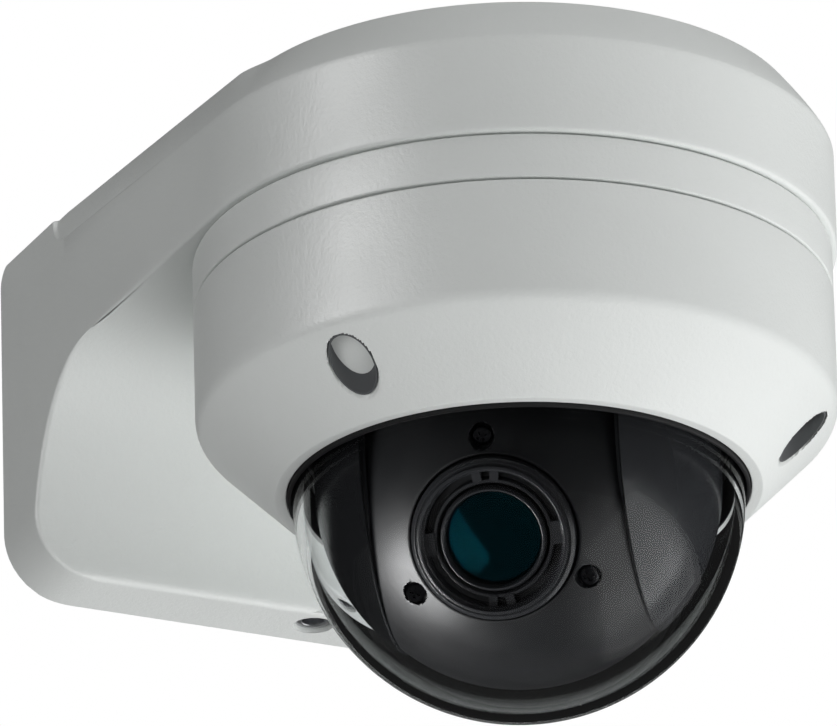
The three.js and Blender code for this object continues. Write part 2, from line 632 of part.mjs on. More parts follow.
// ---------------------------------------------------------------- tilting camera module
const SHELL_T = 2;
const SHELL_UP = 55; // degrees of shell above the lens axis
const SHELL_DOWN = 105;
const LENS_HOLE_R = 16.1;
const SHELL_SCREW_R = 19.3;
const SHELL_SCREW_DEG = [90, 210, 330];
const PLATE_FRONT = -27.5; // lens block's front plate
const REAR_R = 31;

// The part of space round the X axis between two angles; 0 is the lens, along -Y, and up is positive.
function wedge(from, to, half) {
  const outline = [[0, 0], ...arc(0, 0, 60, from, to, 10)];
  return raised(outline, -half, half).rotate([90, 0, 90]).mirror([0, 1, 0]);
}

function band(outerR, innerR, half, steps) {
  const lean = (r) => (Math.asin(half / r) * 180) / Math.PI;
  const outside = arc(0, 0, outerR, -lean(outerR), lean(outerR), steps);
  const inside = arc(0, 0, innerR, lean(innerR), -lean(innerR), steps);
  return alongX(turned([...outside, ...inside], FINE));
}

const screwSpots = SHELL_SCREW_DEG.map((d) => polar(SHELL_SCREW_R, d));
// A round bar along Y between two depths, at [x, z].
const barY = (r, from, to, [x, z], sides = COARSE) =>
  alongY(disc(r, from, to, sides).rotate([0, 0, 180])).translate([x, 0, z]);

function frontShell() {
  const skin = band(BALL_R, BALL_R - SHELL_T, BALL_HALF, 8).intersect(wedge(-SHELL_DOWN, SHELL_UP, 40));
  const bosses = screwSpots.map((at) => barY(3.4, -BALL_R, PLATE_FRONT - GAP, at));
  const inBall = ball(BALL_R - 0.6, 36);
  const recesses = screwSpots.map((at) => barY(2.3, -50, -29.4, at, 16));
  const holes = screwSpots.map((at) => barY(1.3, -50, -20, at, 12));
  return skin
    .add(wasm.Manifold.union(bosses).intersect(inBall))
    .subtract(wasm.Manifold.union([...recesses, ...holes, barY(LENS_HOLE_R, -60, -10, [0, 0], 40)]));
}

function rearShell() {
  const half = 21.3;
  const drum = alongX(ring(REAR_R - 1.8, REAR_R, -half, half, FINE));
  const side = alongX(ring(8.5, REAR_R - 1, 20.3, half, FINE));
  const sides = [side, side.mirror([1, 0, 0])];
  const behind = wedge(SHELL_UP + 3, 360 - SHELL_DOWN - 3, 40);
  return wasm.Manifold.union([drum, ...sides]).intersect(behind);
}

function lensBlock() {
  const plate = barY(20.7, PLATE_FRONT, PLATE_FRONT + 2, [0, 0], 36);
  const cheeks = [-1, 1].map((s) =>
    box([s > 0 ? 18 : -20, PLATE_FRONT + 1, -7], [s > 0 ? 20 : -18, 7, 7]).intersect(ball(33, 24)),
  );
  const axles = [-1, 1].map((s) => alongX(disc(3, Math.min(s * 19, s * 29), Math.max(s * 19, s * 29), 24)));
  const tail = box([-20, 4.5, -7], [20, 7, 7]);
  const holes = screwSpots.map((at) => barY(1.3, -40, -20, at, 12));
  return wasm.Manifold.union([plate, ...cheeks, ...axles, tail]).subtract(
    wasm.Manifold.union([barY(10.6, -40, -20, [0, 0], 36), ...holes]),
  );
}

// Decorative bayonet ring round the lens, with arc slots between short bridges.
function lensRing() {
  const body = alongY(
    turned(
      [[10.5, 31], [15.7, 31], [15.7, 34.6], [14.6, 36], [13.8, 36], [13.2, 34.4], [13.2, 32.4], [10.5, 32.4]],
      32,
    ).mirror([0, 0, 1]),
  );
  const slots = [12, 102, 192, 282].map((from) => {
    const sector = raised([[0, 0], ...arc(0, 0, 20, from, from + 66, 4)], -40, 40);
    return sector.rotate([90, 0, 0]);
  });
  const annulus = alongY(ring(11, 12.7, -40, -20, 32));
  return body.subtract(annulus.intersect(wasm.Manifold.union(slots)));
}

const tube = (outline, sides = MEDIUM) => alongY(turned(outline, sides).mirror([0, 0, 1]));

add(tiltBody, "front_shell", frontShell(), blackPlastic);
add(tiltBody, "rear_shell", rearShell(), blackPlastic);
add(tiltBody, "lens_block", lensBlock(), blackPlastic);
const tiltGear = gear(TILT_TEETH, TILT_MODULE, TILT_GEAR_LOW, TILT_GEAR_HIGH, 3.4);
add(tiltBody, "tilt_gear", ontoTiltAxis(tiltGear), gearWhite);
screwSpots.forEach((at, i) => {
  const made = alongY(screw(1.9, 1.2, 0.9, 4.6, 10));
  add(tiltBody, `shell_screw_${i + 1}`, made, steel, [at[0], -30.9, at[1]]);
});
add(tiltBody, "lens_ring", lensRing(), blackPlastic);
add(
  tiltBody,
  "lens_barrel",
  tube([[9.2, 4.2], [10.2, 4.2], [10.2, 34.2], [9.9, 35], [9.4, 35], [9.2, 34.4]]),
  blackPlastic,
);
for (const [name, outline] of [
  ["front_lens", [[0, 30.5], [8.9, 30.5], [8.9, 33.4], [6.4, 34.2], [3.3, 34.7], [0, 34.9]]],
  ["zoom_group", [[0, 18.6], [6, 19.4], [8.8, 19.4], [8.8, 23.4], [6, 23.4], [0, 24.2]]],
  ["focus_group", [[0, 10.4], [6, 9.6], [8.8, 9.6], [8.8, 12.8], [6, 12.8], [0, 12.2]]],
]) {
  add(tiltBody, name, tube(outline), lensGlass);
}
add(tiltBody, "sensor_board", box([-13, -2.6, -11], [13, -1.2, 11]), greenBoard);
add(tiltBody, "image_sensor", box([-4.5, -3.9, -3.5], [4.5, -2.9, 3.5]), chipBlack);

export default root;
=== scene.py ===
# %% [markdown]
# # A pan-tilt dome camera on its wall bracket
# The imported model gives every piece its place, its body and its joints. This lesson gives each piece
# its finished surface: powder-coated castings, a clear moulded dome, a satin black eyeball and a lens.
# The object hangs out from a wall along -Y, with Z up, and the script works in metres.

# %% Load the frame
import json
import math
import bmesh
import bpy
import numpy as np
from mathutils import Matrix, Vector


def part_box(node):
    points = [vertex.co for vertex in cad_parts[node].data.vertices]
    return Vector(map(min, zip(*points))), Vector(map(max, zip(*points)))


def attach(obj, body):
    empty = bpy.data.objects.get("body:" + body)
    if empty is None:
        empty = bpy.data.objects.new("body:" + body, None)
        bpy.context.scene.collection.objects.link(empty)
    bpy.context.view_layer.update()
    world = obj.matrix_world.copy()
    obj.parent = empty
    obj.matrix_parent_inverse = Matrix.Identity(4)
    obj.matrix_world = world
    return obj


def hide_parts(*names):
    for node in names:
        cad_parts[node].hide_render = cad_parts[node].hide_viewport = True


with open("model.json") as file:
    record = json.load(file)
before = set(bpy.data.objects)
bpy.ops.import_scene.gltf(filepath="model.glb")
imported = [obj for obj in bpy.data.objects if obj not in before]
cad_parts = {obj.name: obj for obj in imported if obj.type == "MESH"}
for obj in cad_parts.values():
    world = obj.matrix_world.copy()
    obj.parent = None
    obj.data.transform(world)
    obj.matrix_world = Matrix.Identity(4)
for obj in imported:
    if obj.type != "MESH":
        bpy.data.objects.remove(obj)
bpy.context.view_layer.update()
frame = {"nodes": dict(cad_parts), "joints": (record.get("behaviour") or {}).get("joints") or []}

MM = 0.001

# %% [markdown]
# ## Where things are
# The hinges say where the camera turns: the pan hinge stands on the housing's axis, and the tilt hinge
# passes through the eyeball's centre. The zoom slide runs along the lens, so it gives the lens axis.
# From these come three working frames: the housing, the pan head, and the lens, whose Z looks out.

# %% The working frames
joints = {j["name"]: j for j in frame["joints"]}
pan_at = Vector(joints["pan"]["pos_m"])
ball_at = Vector(joints["tilt"]["pos_m"])
tilt_axis = Vector(joints["tilt"]["axis"]).normalized()
lens_axis = Vector(joints["zoom"]["axis"]).normalized()
HOUSING = Matrix.Translation((pan_at.x, pan_at.y, 0))


def frame_of(origin, x_axis, z_axis):
    """A frame at origin with the given X and Z axes."""
    y_axis = z_axis.cross(x_axis)
    turn = Matrix((x_axis, y_axis, z_axis)).transposed().to_4x4()
    return Matrix.Translation(origin) @ turn


HEAD = frame_of(ball_at, tilt_axis, Vector((0, 0, 1)))
LENS = frame_of(ball_at, tilt_axis, lens_axis)


def size_of(node):
    """(low, high) of a node's box in millimetres."""
    low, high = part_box(node)
    return np.array(low) / MM, np.array(high) / MM


bracket_low, bracket_high = size_of("wall_bracket")
cover_low, cover_high = size_of("dome_cover")
base_high = size_of("base_casting")[1]
dome_low, dome_high = size_of("dome_bubble")
HALF_WIDTH = bracket_high[0]
HOUSING_R = cover_high[0]
DOME_Z = ball_at.z / MM
DOME_R = DOME_Z - dome_low[2]
print("housing radius", HOUSING_R, "dome radius", round(DOME_R, 2))

# %% [markdown]
# ## Mesh helpers
# Almost every piece here is turned or cast. A grid of points with faces between its rows is enough for
# both: the rows of a turned piece are circles, and those of the bracket are slices at one height.
# Rounded corners come from arcs in the outline, so that every edge catches light as a real one does.

# %% A mesh from rows of points
def tidy(mesh, sharp_deg=38):
    """Merge doubles, turn the faces outwards and shade smooth up to an angle."""
    work = bmesh.new()
    work.from_mesh(mesh)
    bmesh.ops.remove_doubles(work, verts=work.verts, dist=2e-6)
    bmesh.ops.dissolve_degenerate(work, edges=work.edges, dist=1e-6)
    bmesh.ops.recalc_face_normals(work, faces=work.faces)
    work.to_mesh(mesh)
    work.free()
    mesh.polygons.foreach_set("use_smooth", [True] * len(mesh.polygons))
    mesh.set_sharp_from_angle(angle=math.radians(sharp_deg))


def piece(name, points, faces, material, place=Matrix(), sharp_deg=38):
    """A mesh object from points in millimetres, put in place in its own mesh."""
    mesh = bpy.data.meshes.new(name)
    mesh.from_pydata((np.asarray(points) * MM).tolist(), [], faces)
    mesh.transform(place)
    mesh.materials.append(material)
    tidy(mesh, sharp_deg)
    made = bpy.data.objects.new(name, mesh)
    bpy.context.scene.collection.objects.link(made)
    return made


def grid_faces(rows, columns, wrap_rows=True, wrap_columns=True, caps=False):
    """Faces between neighbouring rows; a row's points run round, and rows may close on themselves."""
    faces = []
    for i in range(rows if wrap_rows else rows - 1):
        j = (i + 1) % rows
        for k in range(columns if wrap_columns else columns - 1):
            m = (k + 1) % columns
            faces.append((i * columns + k, i * columns + m, j * columns + m, j * columns + k))
    if caps:
        faces.append(tuple(range(columns)))
        faces.append(tuple(range((rows - 1) * columns, rows * columns)))
    return faces


# %% Outlines with rounded corners
def rounded(outline, steps=5):
    """A closed outline of (r, z, corner radius), with each corner as an arc."""
    made = []
    count = len(outline)
    for i, (x, z, radius) in enumerate(outline):
        corner = np.array((x, z), float)
        before = np.array(outline[i - 1][:2], float) - corner
        after = np.array(outline[(i + 1) % count][:2], float) - corner
        if radius <= 0:
            made.append(corner)
            continue
        before /= np.linalg.norm(before)
        after /= np.linalg.norm(after)
        half = math.acos(np.clip(before @ after, -1, 1)) / 2
        reach = radius / math.tan(half)
        middle = corner + (before + after) / np.linalg.norm(before + after) * radius / math.sin(half)
        start, end = corner + before * reach - middle, corner + after * reach - middle
        sweep = math.pi - 2 * half
        for t in np.linspace(0, 1, steps + 1):
            spoke = start * math.sin((1 - t) * sweep) + end * math.sin(t * sweep)
            made.append(middle + spoke / math.sin(sweep))
    return made


def divided(outline, step, low=-1e9, high=1e9):
    """The same closed outline with points at most a step apart where z is between low and high."""
    made = []
    for i, a in enumerate(outline):
        b = outline[(i + 1) % len(outline)]
        made.append(a)
        length = math.dist(a, b)
        if low <= (a[1] + b[1]) / 2 <= high and length > step:
            parts = math.ceil(length / step)
            made += [a + (b - a) * t / parts for t in range(1, parts)]
    return made


def turned(name, outline, material, place, sides=144, angles=None, shape=None, sharp_deg=38):
    """A body turned about Z from a closed outline; shape may move the points afterwards."""
    turns = np.linspace(0, 2 * math.pi, sides, endpoint=False) if angles is None else np.radians(angles)
    r, z = np.array(outline).T
    points = np.stack(
        [np.outer(r, np.cos(turns)), np.outer(r, np.sin(turns)), np.repeat(z[:, None], len(turns), 1)], -1
    ).reshape(-1, 3)
    if shape:
        points = shape(points)
    return piece(name, points, grid_faces(len(outline), len(turns)), material, place, sharp_deg)


def points_of(*pairs):
    """Outline points from plain (r, z) pairs."""
    return [np.array(pair, float) for pair in pairs]


def arc_points(cx, cz, r, start, end, steps):
    """Outline points along an arc, with its ends in degrees."""
    return [
        np.array((cx + r * math.cos(math.radians(a)), cz + r * math.sin(math.radians(a))))
        for a in np.linspace(start, end, steps + 1)
    ]


def rectangle(x, y):
    """Corners of a rectangle about the origin, from half its width and half its depth."""
    return [(-x, -y), (x, -y), (x, y), (-x, y)]


def smoothstep(t):
    """A rise from 0 to 1 that starts and ends level."""
    t = np.clip(t, 0, 1)
    return t * t * (3 - 2 * t)


def evaluated(made):
    """The mesh that an object's modifiers give."""
    bpy.context.view_layer.update()
    graph = bpy.context.evaluated_depsgraph_get()
    return bpy.data.meshes.new_from_object(made.evaluated_get(graph))


def cut(target, *cutters):
    """Take the cutters away from the target and drop them."""
    for cutter in cutters:
        step = target.modifiers.new("cut", "BOOLEAN")
        step.operation = "DIFFERENCE"
        step.solver = "EXACT"
        step.object = cutter
        result = evaluated(target)
        target.modifiers.remove(step)
        target.data = result
        bpy.data.objects.remove(cutter)
    tidy(target.data)
    return target


def joined(name, *parts):
    """Several mesh objects as one mesh."""
    work = bmesh.new()
    for part in parts:
        work.from_mesh(part.data)
    mesh = bpy.data.meshes.new(name)
    work.to_mesh(mesh)
    work.free()
    mesh.materials.append(parts[0].data.materials[0])
    for part in parts:
        bpy.data.objects.remove(part)
    mesh.polygons.foreach_set("use_smooth", [True] * len(mesh.polygons))
    mesh.set_sharp_from_angle(angle=math.radians(38))
    made = bpy.data.objects.new(name, mesh)
    bpy.context.scene.collection.objects.link(made)
    return made


def finished(made, body, slot, *nodes):
    """Hand a finished piece over: its body and the nodes it stands for; slot is not used."""
    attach(made, body)
    if nodes:
        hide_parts(*nodes)
    made.data.name = made.name
    print(f"{made.name}: {len(made.data.polygons)} faces, stands for {len(nodes)}")
    return made


# %% [markdown]
# ## Finishes shared by several materials
# Powder coat, moulded plastic and metal all get their character from small height changes. One node
# group makes a grain from two sizes of noise, and another makes the faint unevenness of colour and
# gloss that handling and casting leave. Both only put out values, so the export can follow them.

# %% Grain and mottle groups
def new_group(name, inputs, outputs):
    """A shader group with named float inputs and outputs."""
    tree = bpy.data.node_groups.new(name, "ShaderNodeTree")
    for label, value in inputs.items():
        socket = tree.interface.new_socket(name=label, in_out="INPUT", socket_type="NodeSocketFloat")
        socket.default_value = value
    for label in outputs:
        tree.interface.new_socket(name=label, in_out="OUTPUT", socket_type="NodeSocketFloat")
    return tree, tree.nodes.new("NodeGroupInput"), tree.nodes.new("NodeGroupOutput")


def noise(tree, coordinates, scale_socket, detail, factor=1.0):
    """Noise whose scale is a group input times a factor."""
    node = tree.nodes.new("ShaderNodeTexNoise")
    node.inputs["Detail"].default_value = detail
    tree.links.new(coordinates, node.inputs["Vector"])
    times = tree.nodes.new("ShaderNodeMath")
    times.operation = "MULTIPLY"
    times.inputs[1].default_value = factor
    tree.links.new(scale_socket, times.inputs[0])
    tree.links.new(times.outputs[0], node.inputs["Scale"])
    return node.outputs[0]


def grain_group():
    tree, given, result = new_group("Surface grain", {"Scale": 900.0, "Fine share": 0.35}, ["Height"])
    where = tree.nodes.new("ShaderNodeTexCoord").outputs["Object"]
    coarse = noise(tree, where, given.outputs["Scale"], 2.0)
    fine = noise(tree, where, given.outputs["Scale"], 1.0, 3.1)
    mix = tree.nodes.new("ShaderNodeMix")
    tree.links.new(given.outputs["Fine share"], mix.inputs[0])
    tree.links.new(coarse, mix.inputs[2])
    tree.links.new(fine, mix.inputs[3])
    tree.links.new(mix.outputs[0], result.inputs["Height"])
    return tree


def mottle_group():
    tree, given, result = new_group("Mottle", {"Scale": 40.0, "Low": 0.4, "High": 0.6}, ["Value"])
    where = tree.nodes.new("ShaderNodeTexCoord").outputs["Object"]
    cloud = noise(tree, where, given.outputs["Scale"], 4.0)
    spread = tree.nodes.new("ShaderNodeMapRange")
    spread.inputs["From Min"].default_value = 0.3
    spread.inputs["From Max"].default_value = 0.7
    tree.links.new(cloud, spread.inputs["Value"])
    tree.links.new(given.outputs["Low"], spread.inputs["To Min"])
    tree.links.new(given.outputs["High"], spread.inputs["To Max"])
    tree.links.new(spread.outputs[0], result.inputs["Value"])
    return tree


GRAIN = grain_group()
MOTTLE = mottle_group()


# %% One maker for all opaque finishes
def finish(name, color, roughness, metallic=0.0, grain=(900, 0.35, 0.1), tint=0.04, mottle=40, **extra):
    """An opaque material: colour with a faint mottle, roughness with its own, and a grain in the normal."""
    made = bpy.data.materials.new(name)
    made.use_nodes = True
    tree = made.node_tree
    shader = tree.nodes["Principled BSDF"]
    shader.inputs["Metallic"].default_value = metallic
    for label, value in extra.items():
        shader.inputs[label.replace("_", " ")].default_value = value

    def placed(group, **values):
        node = tree.nodes.new("ShaderNodeGroup")
        node.node_tree = group
        for label, value in values.items():
            node.inputs[label.replace("_", " ")].default_value = value
        return node.outputs[0]

    shade = tree.nodes.new("ShaderNodeMix")
    shade.data_type = "RGBA"
    shade.inputs[6].default_value = (*[c * (1 - tint) for c in color], 1)
    shade.inputs[7].default_value = (*[min(1, c * (1 + tint)) for c in color], 1)
    tree.links.new(placed(MOTTLE, Scale=mottle, Low=0.0, High=1.0), shade.inputs[0])
    tree.links.new(shade.outputs[2], shader.inputs["Base Color"])
    gloss = placed(MOTTLE, Scale=mottle * 2.3, Low=roughness * 0.9, High=min(1, roughness * 1.1))
    tree.links.new(gloss, shader.inputs["Roughness"])
    scale, share, strength = grain
    bump = tree.nodes.new("ShaderNodeBump")
    bump.inputs["Strength"].default_value = strength
    bump.inputs["Distance"].default_value = 0.0002
    tree.links.new(placed(GRAIN, Scale=scale, Fine_share=share), bump.inputs["Height"])
    tree.links.new(bump.outputs[0], shader.inputs["Normal"])
    return made


POWDER = finish(
    "White powder coat", (0.80, 0.825, 0.81), 0.44, grain=(1100, 0.3, 0.6), tint=0.015, mottle=25,
)
SATIN = finish("Black satin plastic", (0.006, 0.0063, 0.007), 0.4, grain=(2600, 0.5, 0.1), tint=0.1)
CHEEK = finish("Black cheek plastic", (0.02, 0.021, 0.023), 0.24, grain=(2600, 0.5, 0.01), tint=0.1)
# Dark grey for the recess liners: painted shade for the shadow in the cover's screw recesses.
PAINTED_RECESS_SHADE = finish("Shaded bore", (0.11, 0.115, 0.12), 0.6, grain=(1500, 0.3, 0.1), tint=0.05)
LENS_BLACK = finish("Lens ring plastic", (0.014, 0.0145, 0.016), 0.24, grain=(3200, 0.5, 0.1), tint=0.15)
SCREEN_BLACK = finish("Matt black screen", (0.008, 0.008, 0.009), 0.6, grain=(2000, 0.4, 0.1), tint=0.1)
SEAL = finish("Black rubber", (0.012, 0.012, 0.013), 0.62, grain=(1800, 0.5, 0.15), tint=0.15)
STEEL = finish("Bright zinc steel", (0.62, 0.63, 0.65), 0.32, 1.0, grain=(1400, 0.6, 0.06), tint=0.06)
DARK_STEEL = finish(
    "Blackened screw steel", (0.05, 0.05, 0.055), 0.3, 1.0, grain=(1400, 0.6, 0.06), tint=0.1,
)
ALLOY = finish("Cast alloy", (0.70, 0.71, 0.73), 0.42, 1.0, grain=(1100, 0.4, 0.15), tint=0.04)
BRASS = finish("Machined brass", (0.74, 0.57, 0.28), 0.3, 1.0, grain=(1600, 0.6, 0.06), tint=0.06)
ACETAL = finish("Natural acetal", (0.80, 0.78, 0.70), 0.45, grain=(1500, 0.4, 0.05), tint=0.03)
BOARD = finish("Green solder mask", (0.02, 0.13, 0.06), 0.35, grain=(700, 0.7, 0.2), tint=0.25, mottle=300)
CHIP = finish("Moulded chip", (0.03, 0.03, 0.033), 0.5, grain=(2400, 0.5, 0.2), tint=0.1)
print("finishes:", len(bpy.data.materials))

# %% [markdown]
# ## Clear mouldings
# The dome is clear polycarbonate with a wall of two millimetres, so it's modelled with both of its
# skins. The real plastic's index is about 1.58. Here it is set far lower, with the mirroring raised
# instead, so that what is seen through the wall stays undistorted. The lens glass is tinted nearly
# black, as painted shade for the lens's dark inside, and carries a coating, which tints what it
# mirrors. Both have a faint unevenness of gloss.

# %% Glass finishes
def clear(name, color, ior, roughness, level=0.5, coat_tint=None):
    """A clear material; coat_tint colours what it mirrors straight on."""
    made = bpy.data.materials.new(name)
    made.use_nodes = True
    tree = made.node_tree
    shader = tree.nodes["Principled BSDF"]
    shader.inputs["Base Color"].default_value = (*color, 1)
    shader.inputs["IOR"].default_value = ior
    shader.inputs["Transmission Weight"].default_value = 1.0
    shader.inputs["Specular IOR Level"].default_value = level
    if coat_tint:
        shader.inputs["Specular Tint"].default_value = (*coat_tint, 1)
    node = tree.nodes.new("ShaderNodeGroup")
    node.node_tree = MOTTLE
    node.inputs["Scale"].default_value = 60
    node.inputs["Low"].default_value = roughness * 0.5
    node.inputs["High"].default_value = roughness
    tree.links.new(node.outputs[0], shader.inputs["Roughness"])
    return made


DOME = clear("Clear polycarbonate", (0.97, 0.98, 0.985), 1.12, 0.004, 6.0)
# Nearly black base colour: painted shade for the lens's dark inside; the teal is the coating's tint of what
# it mirrors.
COATED = clear("Coated glass", (0.04, 0.045, 0.05), 1.6, 0.05, coat_tint=(0.02, 0.75, 1.0))

# %% [markdown]
# ## The wall bracket
# It's one die casting: a box flat on the wall, a slanted inner face that sweeps up into the arm in a
# fillet, and the arm's round end. Its sides and its chamfer follow a rule, so it is built from slices
# at rising heights, each slice an outline seen from above. The chamfer's inner end is a round run-out.

# %% Bracket measures
RIM_Z = base_high[2] + 0.3
TOP_Z, BOTTOM_Z = bracket_high[2], bracket_low[2]
CREASE_Z, CREASE_RISE = 24.6, 4.4
CHAMFER_IN, CHAMFER_ROOT = 7.2, 0.5
REACH = -pan_at.y / MM
BOX_DEPTH, SWEEP = 14.5, 29.0
CORNER_R = 13.0
BACK_EDGE_R = 4.5
RUNOUT_Y, RUNOUT_R = -31.4, 5.5
WALL_T = 3.2
CABLE_R = 15
CORNER_EDGE_R = 0.9


def box_front(z, shrink):
    """How far the wall box stands out at a height: nearly upright, then a fillet into the arm."""
    u = np.clip((z - BOTTOM_Z) / (RIM_Z - BOTTOM_Z), 0, 1)
    return -(BOX_DEPTH + SWEEP * (1 - (1 - u**2.0) ** 0.43)) + shrink


def half_width(z, shrink):
    """Half the wall box's width at a height, drawn in round its lower corners."""
    low = BOTTOM_Z + CORNER_R - z
    if low <= 0:
        return HALF_WIDTH - shrink
    corner = CORNER_R - shrink
    return HALF_WIDTH - CORNER_R + math.sqrt(max(0.0, corner**2 - low**2))


def edge_round(gap, radius):
    """How much an edge of this radius pulls in, at a distance from the face it runs into."""
    if gap >= radius:
        return 0.0
    return radius - math.sqrt(max(0.0, radius**2 - (radius - gap) ** 2))


# Shares of the way from the wall to the disc, close together round the chamfer's run-out.
FRONT_SHARE = (BOX_DEPTH + SWEEP - CORNER_EDGE_R) / REACH
SIDE_T = np.concatenate([
    np.linspace(0, 0.22, 10)[:-1],
    np.linspace(0.22, 0.36, 52)[:-1],
    np.linspace(0.36, FRONT_SHARE, 6),
    np.linspace(FRONT_SHARE, 1, 14)[1:],
])
AT_BOX = int(np.argmax(SIDE_T >= FRONT_SHARE)) + 1
TURN = np.radians(np.linspace(180, 360, 151))[1:-1]
FRONT_TURN = np.radians(np.linspace(180, 360, len(TURN) + 2 * (len(SIDE_T) - AT_BOX) + 2))[1:-1]


def crease(y):
    """Height of the chamfer's lower edge: level round the disc, climbing along the arm to its root."""
    return CREASE_Z + CREASE_RISE * np.clip((y + REACH) / (REACH + RUNOUT_Y), 0, 1)


def lean(y, z, past=0.0):
    """How far the chamfer has leant in at a point of the side, or past the arm by a share of the disc."""
    root = np.clip((y + REACH) / (REACH + RUNOUT_Y), 0, 1)
    rise = np.clip((z - crease(y)) / (TOP_Z - crease(y)), 0, 1)
    deep = CHAMFER_ROOT + (CHAMFER_IN - 2.0 - CHAMFER_ROOT) * (1 - root) + 2.0 * past
    return 0.4 * root * smoothstep(rise / 0.07) + deep * rise ** (1.15 + 0.9 * root)


def arm_row(share, level, top, shrink=0.0, pull=0.0, top_pull=0.0):
    """One row of the arm: at a level below the crease, or at a share of the way from it to the top."""
    def height(y):
        return level if share is None else crease(y) + share * (top - crease(y))

    wall_y = 1.0 if shrink else -edge_round(TOP_Z - height(0.0), BACK_EDGE_R)
    y = wall_y + (-REACH - wall_y) * SIDE_T
    z = height(y) + np.zeros_like(y)
    far = np.hypot(np.maximum(y - RUNOUT_Y, 0), np.minimum(z - crease(0.0) - RUNOUT_R, 0))
    fade = np.where(y < RUNOUT_Y, 1.0, smoothstep((RUNOUT_R - far) / 0.9))
    free = smoothstep((-y - BOX_DEPTH - SWEEP - 0.5) / 5)
    half = HALF_WIDTH - shrink
    side = half - pull * free - top_pull - lean(y, z) * fade
    past = smoothstep(np.minimum(TURN - math.pi, 2 * math.pi - TURN) / math.radians(11))
    end_z = height(-REACH)
    r = half - pull - top_pull - lean(-REACH, end_z, past)
    left = list(zip(-side, y, z))
    right = list(zip(side[::-1], y[::-1], z[::-1]))
    round_end = [(q * math.cos(t), -REACH + q * math.sin(t), end_z) for q, t in zip(r, TURN)]
    return left + round_end + right


def box_row(z, shrink, pull=0.0):
    """One row of the wall box, level, from the wall round the front and back to the wall."""
    wall_y = 1.0 if shrink else 0.0
    half = half_width(z, shrink) - pull
    front = box_front(z, shrink) + pull
    corner = CORNER_EDGE_R
    y = wall_y + (front + corner - wall_y) * SIDE_T[:AT_BOX] / SIDE_T[AT_BOX - 1]
    across = half * np.cos(FRONT_TURN)
    drop = np.clip(np.abs(across) - (half - corner), 0, corner)
    ahead = front + corner - np.sqrt(corner**2 - drop**2)
    left = [(-half, v, z) for v in y]
    right = [(half, v, z) for v in y[::-1]]
    return left + [(x, v, z) for x, v in zip(across, ahead)] + right


def bracket_skin(name, shrink):
    """The casting's outer skin, or the surface of its hollow when shrunk by the wall's thickness."""
    quarter = 1 - np.cos(np.radians([0, 20, 40, 60, 90]))
    low, high, rim = BOTTOM_Z + shrink, TOP_Z - shrink, RIM_Z + shrink
    rows = [box_row(low + gap, shrink, edge_round(gap, 1.3)) for gap in 1.3 * quarter]
    for t in np.linspace(0, 1, 44)[1:]:
        rows.append(box_row(rim - (rim - low - 1.3) * (1 - t) ** 1.9, shrink))
    for gap in 0.7 * quarter:
        rows.append(arm_row(None, rim + gap, high, shrink, edge_round(gap, 0.7)))
    for z in np.linspace(rim + 2, CREASE_Z - 1, 4):
        rows.append(arm_row(None, z, high, shrink))
    for share in np.concatenate([np.linspace(0, 0.1, 6)[:-1], np.linspace(0.1, 0.93, 22)]):
        rows.append(arm_row(share, None, high, shrink))
    for gap in (0.45, 0.25, 0.1, 0.0):
        rows.append(arm_row(1 - gap / (high - CREASE_Z), None, high, shrink, 0.0, edge_round(gap, 0.6)))
    points = np.array(rows).reshape(-1, 3)
    return piece(name, points, grid_faces(len(rows), len(rows[0]), wrap_rows=False, caps=True), POWDER)


def upright(x, y):
    """The place of a piece that stands at a point in the object's own plan."""
    return Matrix.Translation((x * MM, y * MM, 0))


def drill(name, x, y, radius, low, high, sides=64):
    """A plain round cutter along Z."""
    outline = points_of((0, low), (radius, low), (radius, high), (0, high))
    return turned(name, outline, POWDER, upright(x, y), sides)


# %% Cast the bracket
lock_low, lock_high = size_of("lock_screw")
lock_x, lock_y = (lock_low[:2] + lock_high[:2]) / 2
lock_r = (lock_high[0] - lock_low[0]) / 2
bracket = bracket_skin("wall_bracket_casting", 0.0)
hollow = bracket_skin("hollow", WALL_T)
cut(bracket, hollow, drill("cable hole", 0, -REACH, CABLE_R, RIM_Z - 2, RIM_Z + WALL_T + 3))
boss_in, boss_out = lock_r + 0.3, lock_r + 2.6
boss_low, boss_high = lock_low[2] - 0.6, lock_high[2] + 1
lock_boss = turned(
    "lock_boss",
    rounded([
        (boss_in, boss_low, 0.4), (boss_out, boss_low, 0),
        (boss_out, boss_high, 0.3), (boss_in, boss_high, 0),
    ]),
    POWDER, upright(lock_x, lock_y), 64,
)
cut(bracket, drill("lock hole", lock_x, lock_y, lock_r + 0.35, BOTTOM_Z - 2, lock_high[2] + 2))
finished(bracket, "housing", "white_casting", "wall_bracket")
finished(lock_boss, "housing", "white_casting")

# %% [markdown]
# ## The camera's housing
# The base and the cover are one diameter and meet at a thin dark seam. The cover turns from a cylinder
# into a cone, and three deep round recesses for its screws are drilled straight up into the cone. The
# recesses are pushed into the turned surface itself, with columns of points set close round each one,
# so that their rims stay crisp without any boolean. A thin liner in each recess gives it a straight
# wall, because pushed points alone leave the wall's faces long and uneven. The liner's dark grey is
# painted shade, standing in for the shadow deep in the recess.

# %% Base
SEAM_Z, SEAM_W = cover_high[2], 0.45
BASE_TOP, BASE_T = base_high[2], 3.2
CABLE_HOLE_R = 11
TONGUE_IN, TONGUE_R, TONGUE_Z = 54.2, 56.6, -9
base = turned(
    "camera_base",
    divided(rounded([
        (CABLE_HOLE_R, BASE_TOP - BASE_T, 0), (CABLE_HOLE_R, BASE_TOP, 0.3), (HOUSING_R, BASE_TOP, 0.6),
        (HOUSING_R, SEAM_Z + SEAM_W, 0.45), (TONGUE_R, SEAM_Z + SEAM_W, 0), (TONGUE_R, TONGUE_Z, 0.2),
        (TONGUE_IN, TONGUE_Z, 0.2), (TONGUE_IN, BASE_TOP - BASE_T, 1.0),
    ]), 4),
    POWDER, HOUSING, 192,
)
finished(base, "housing", "white_casting", "base_casting")

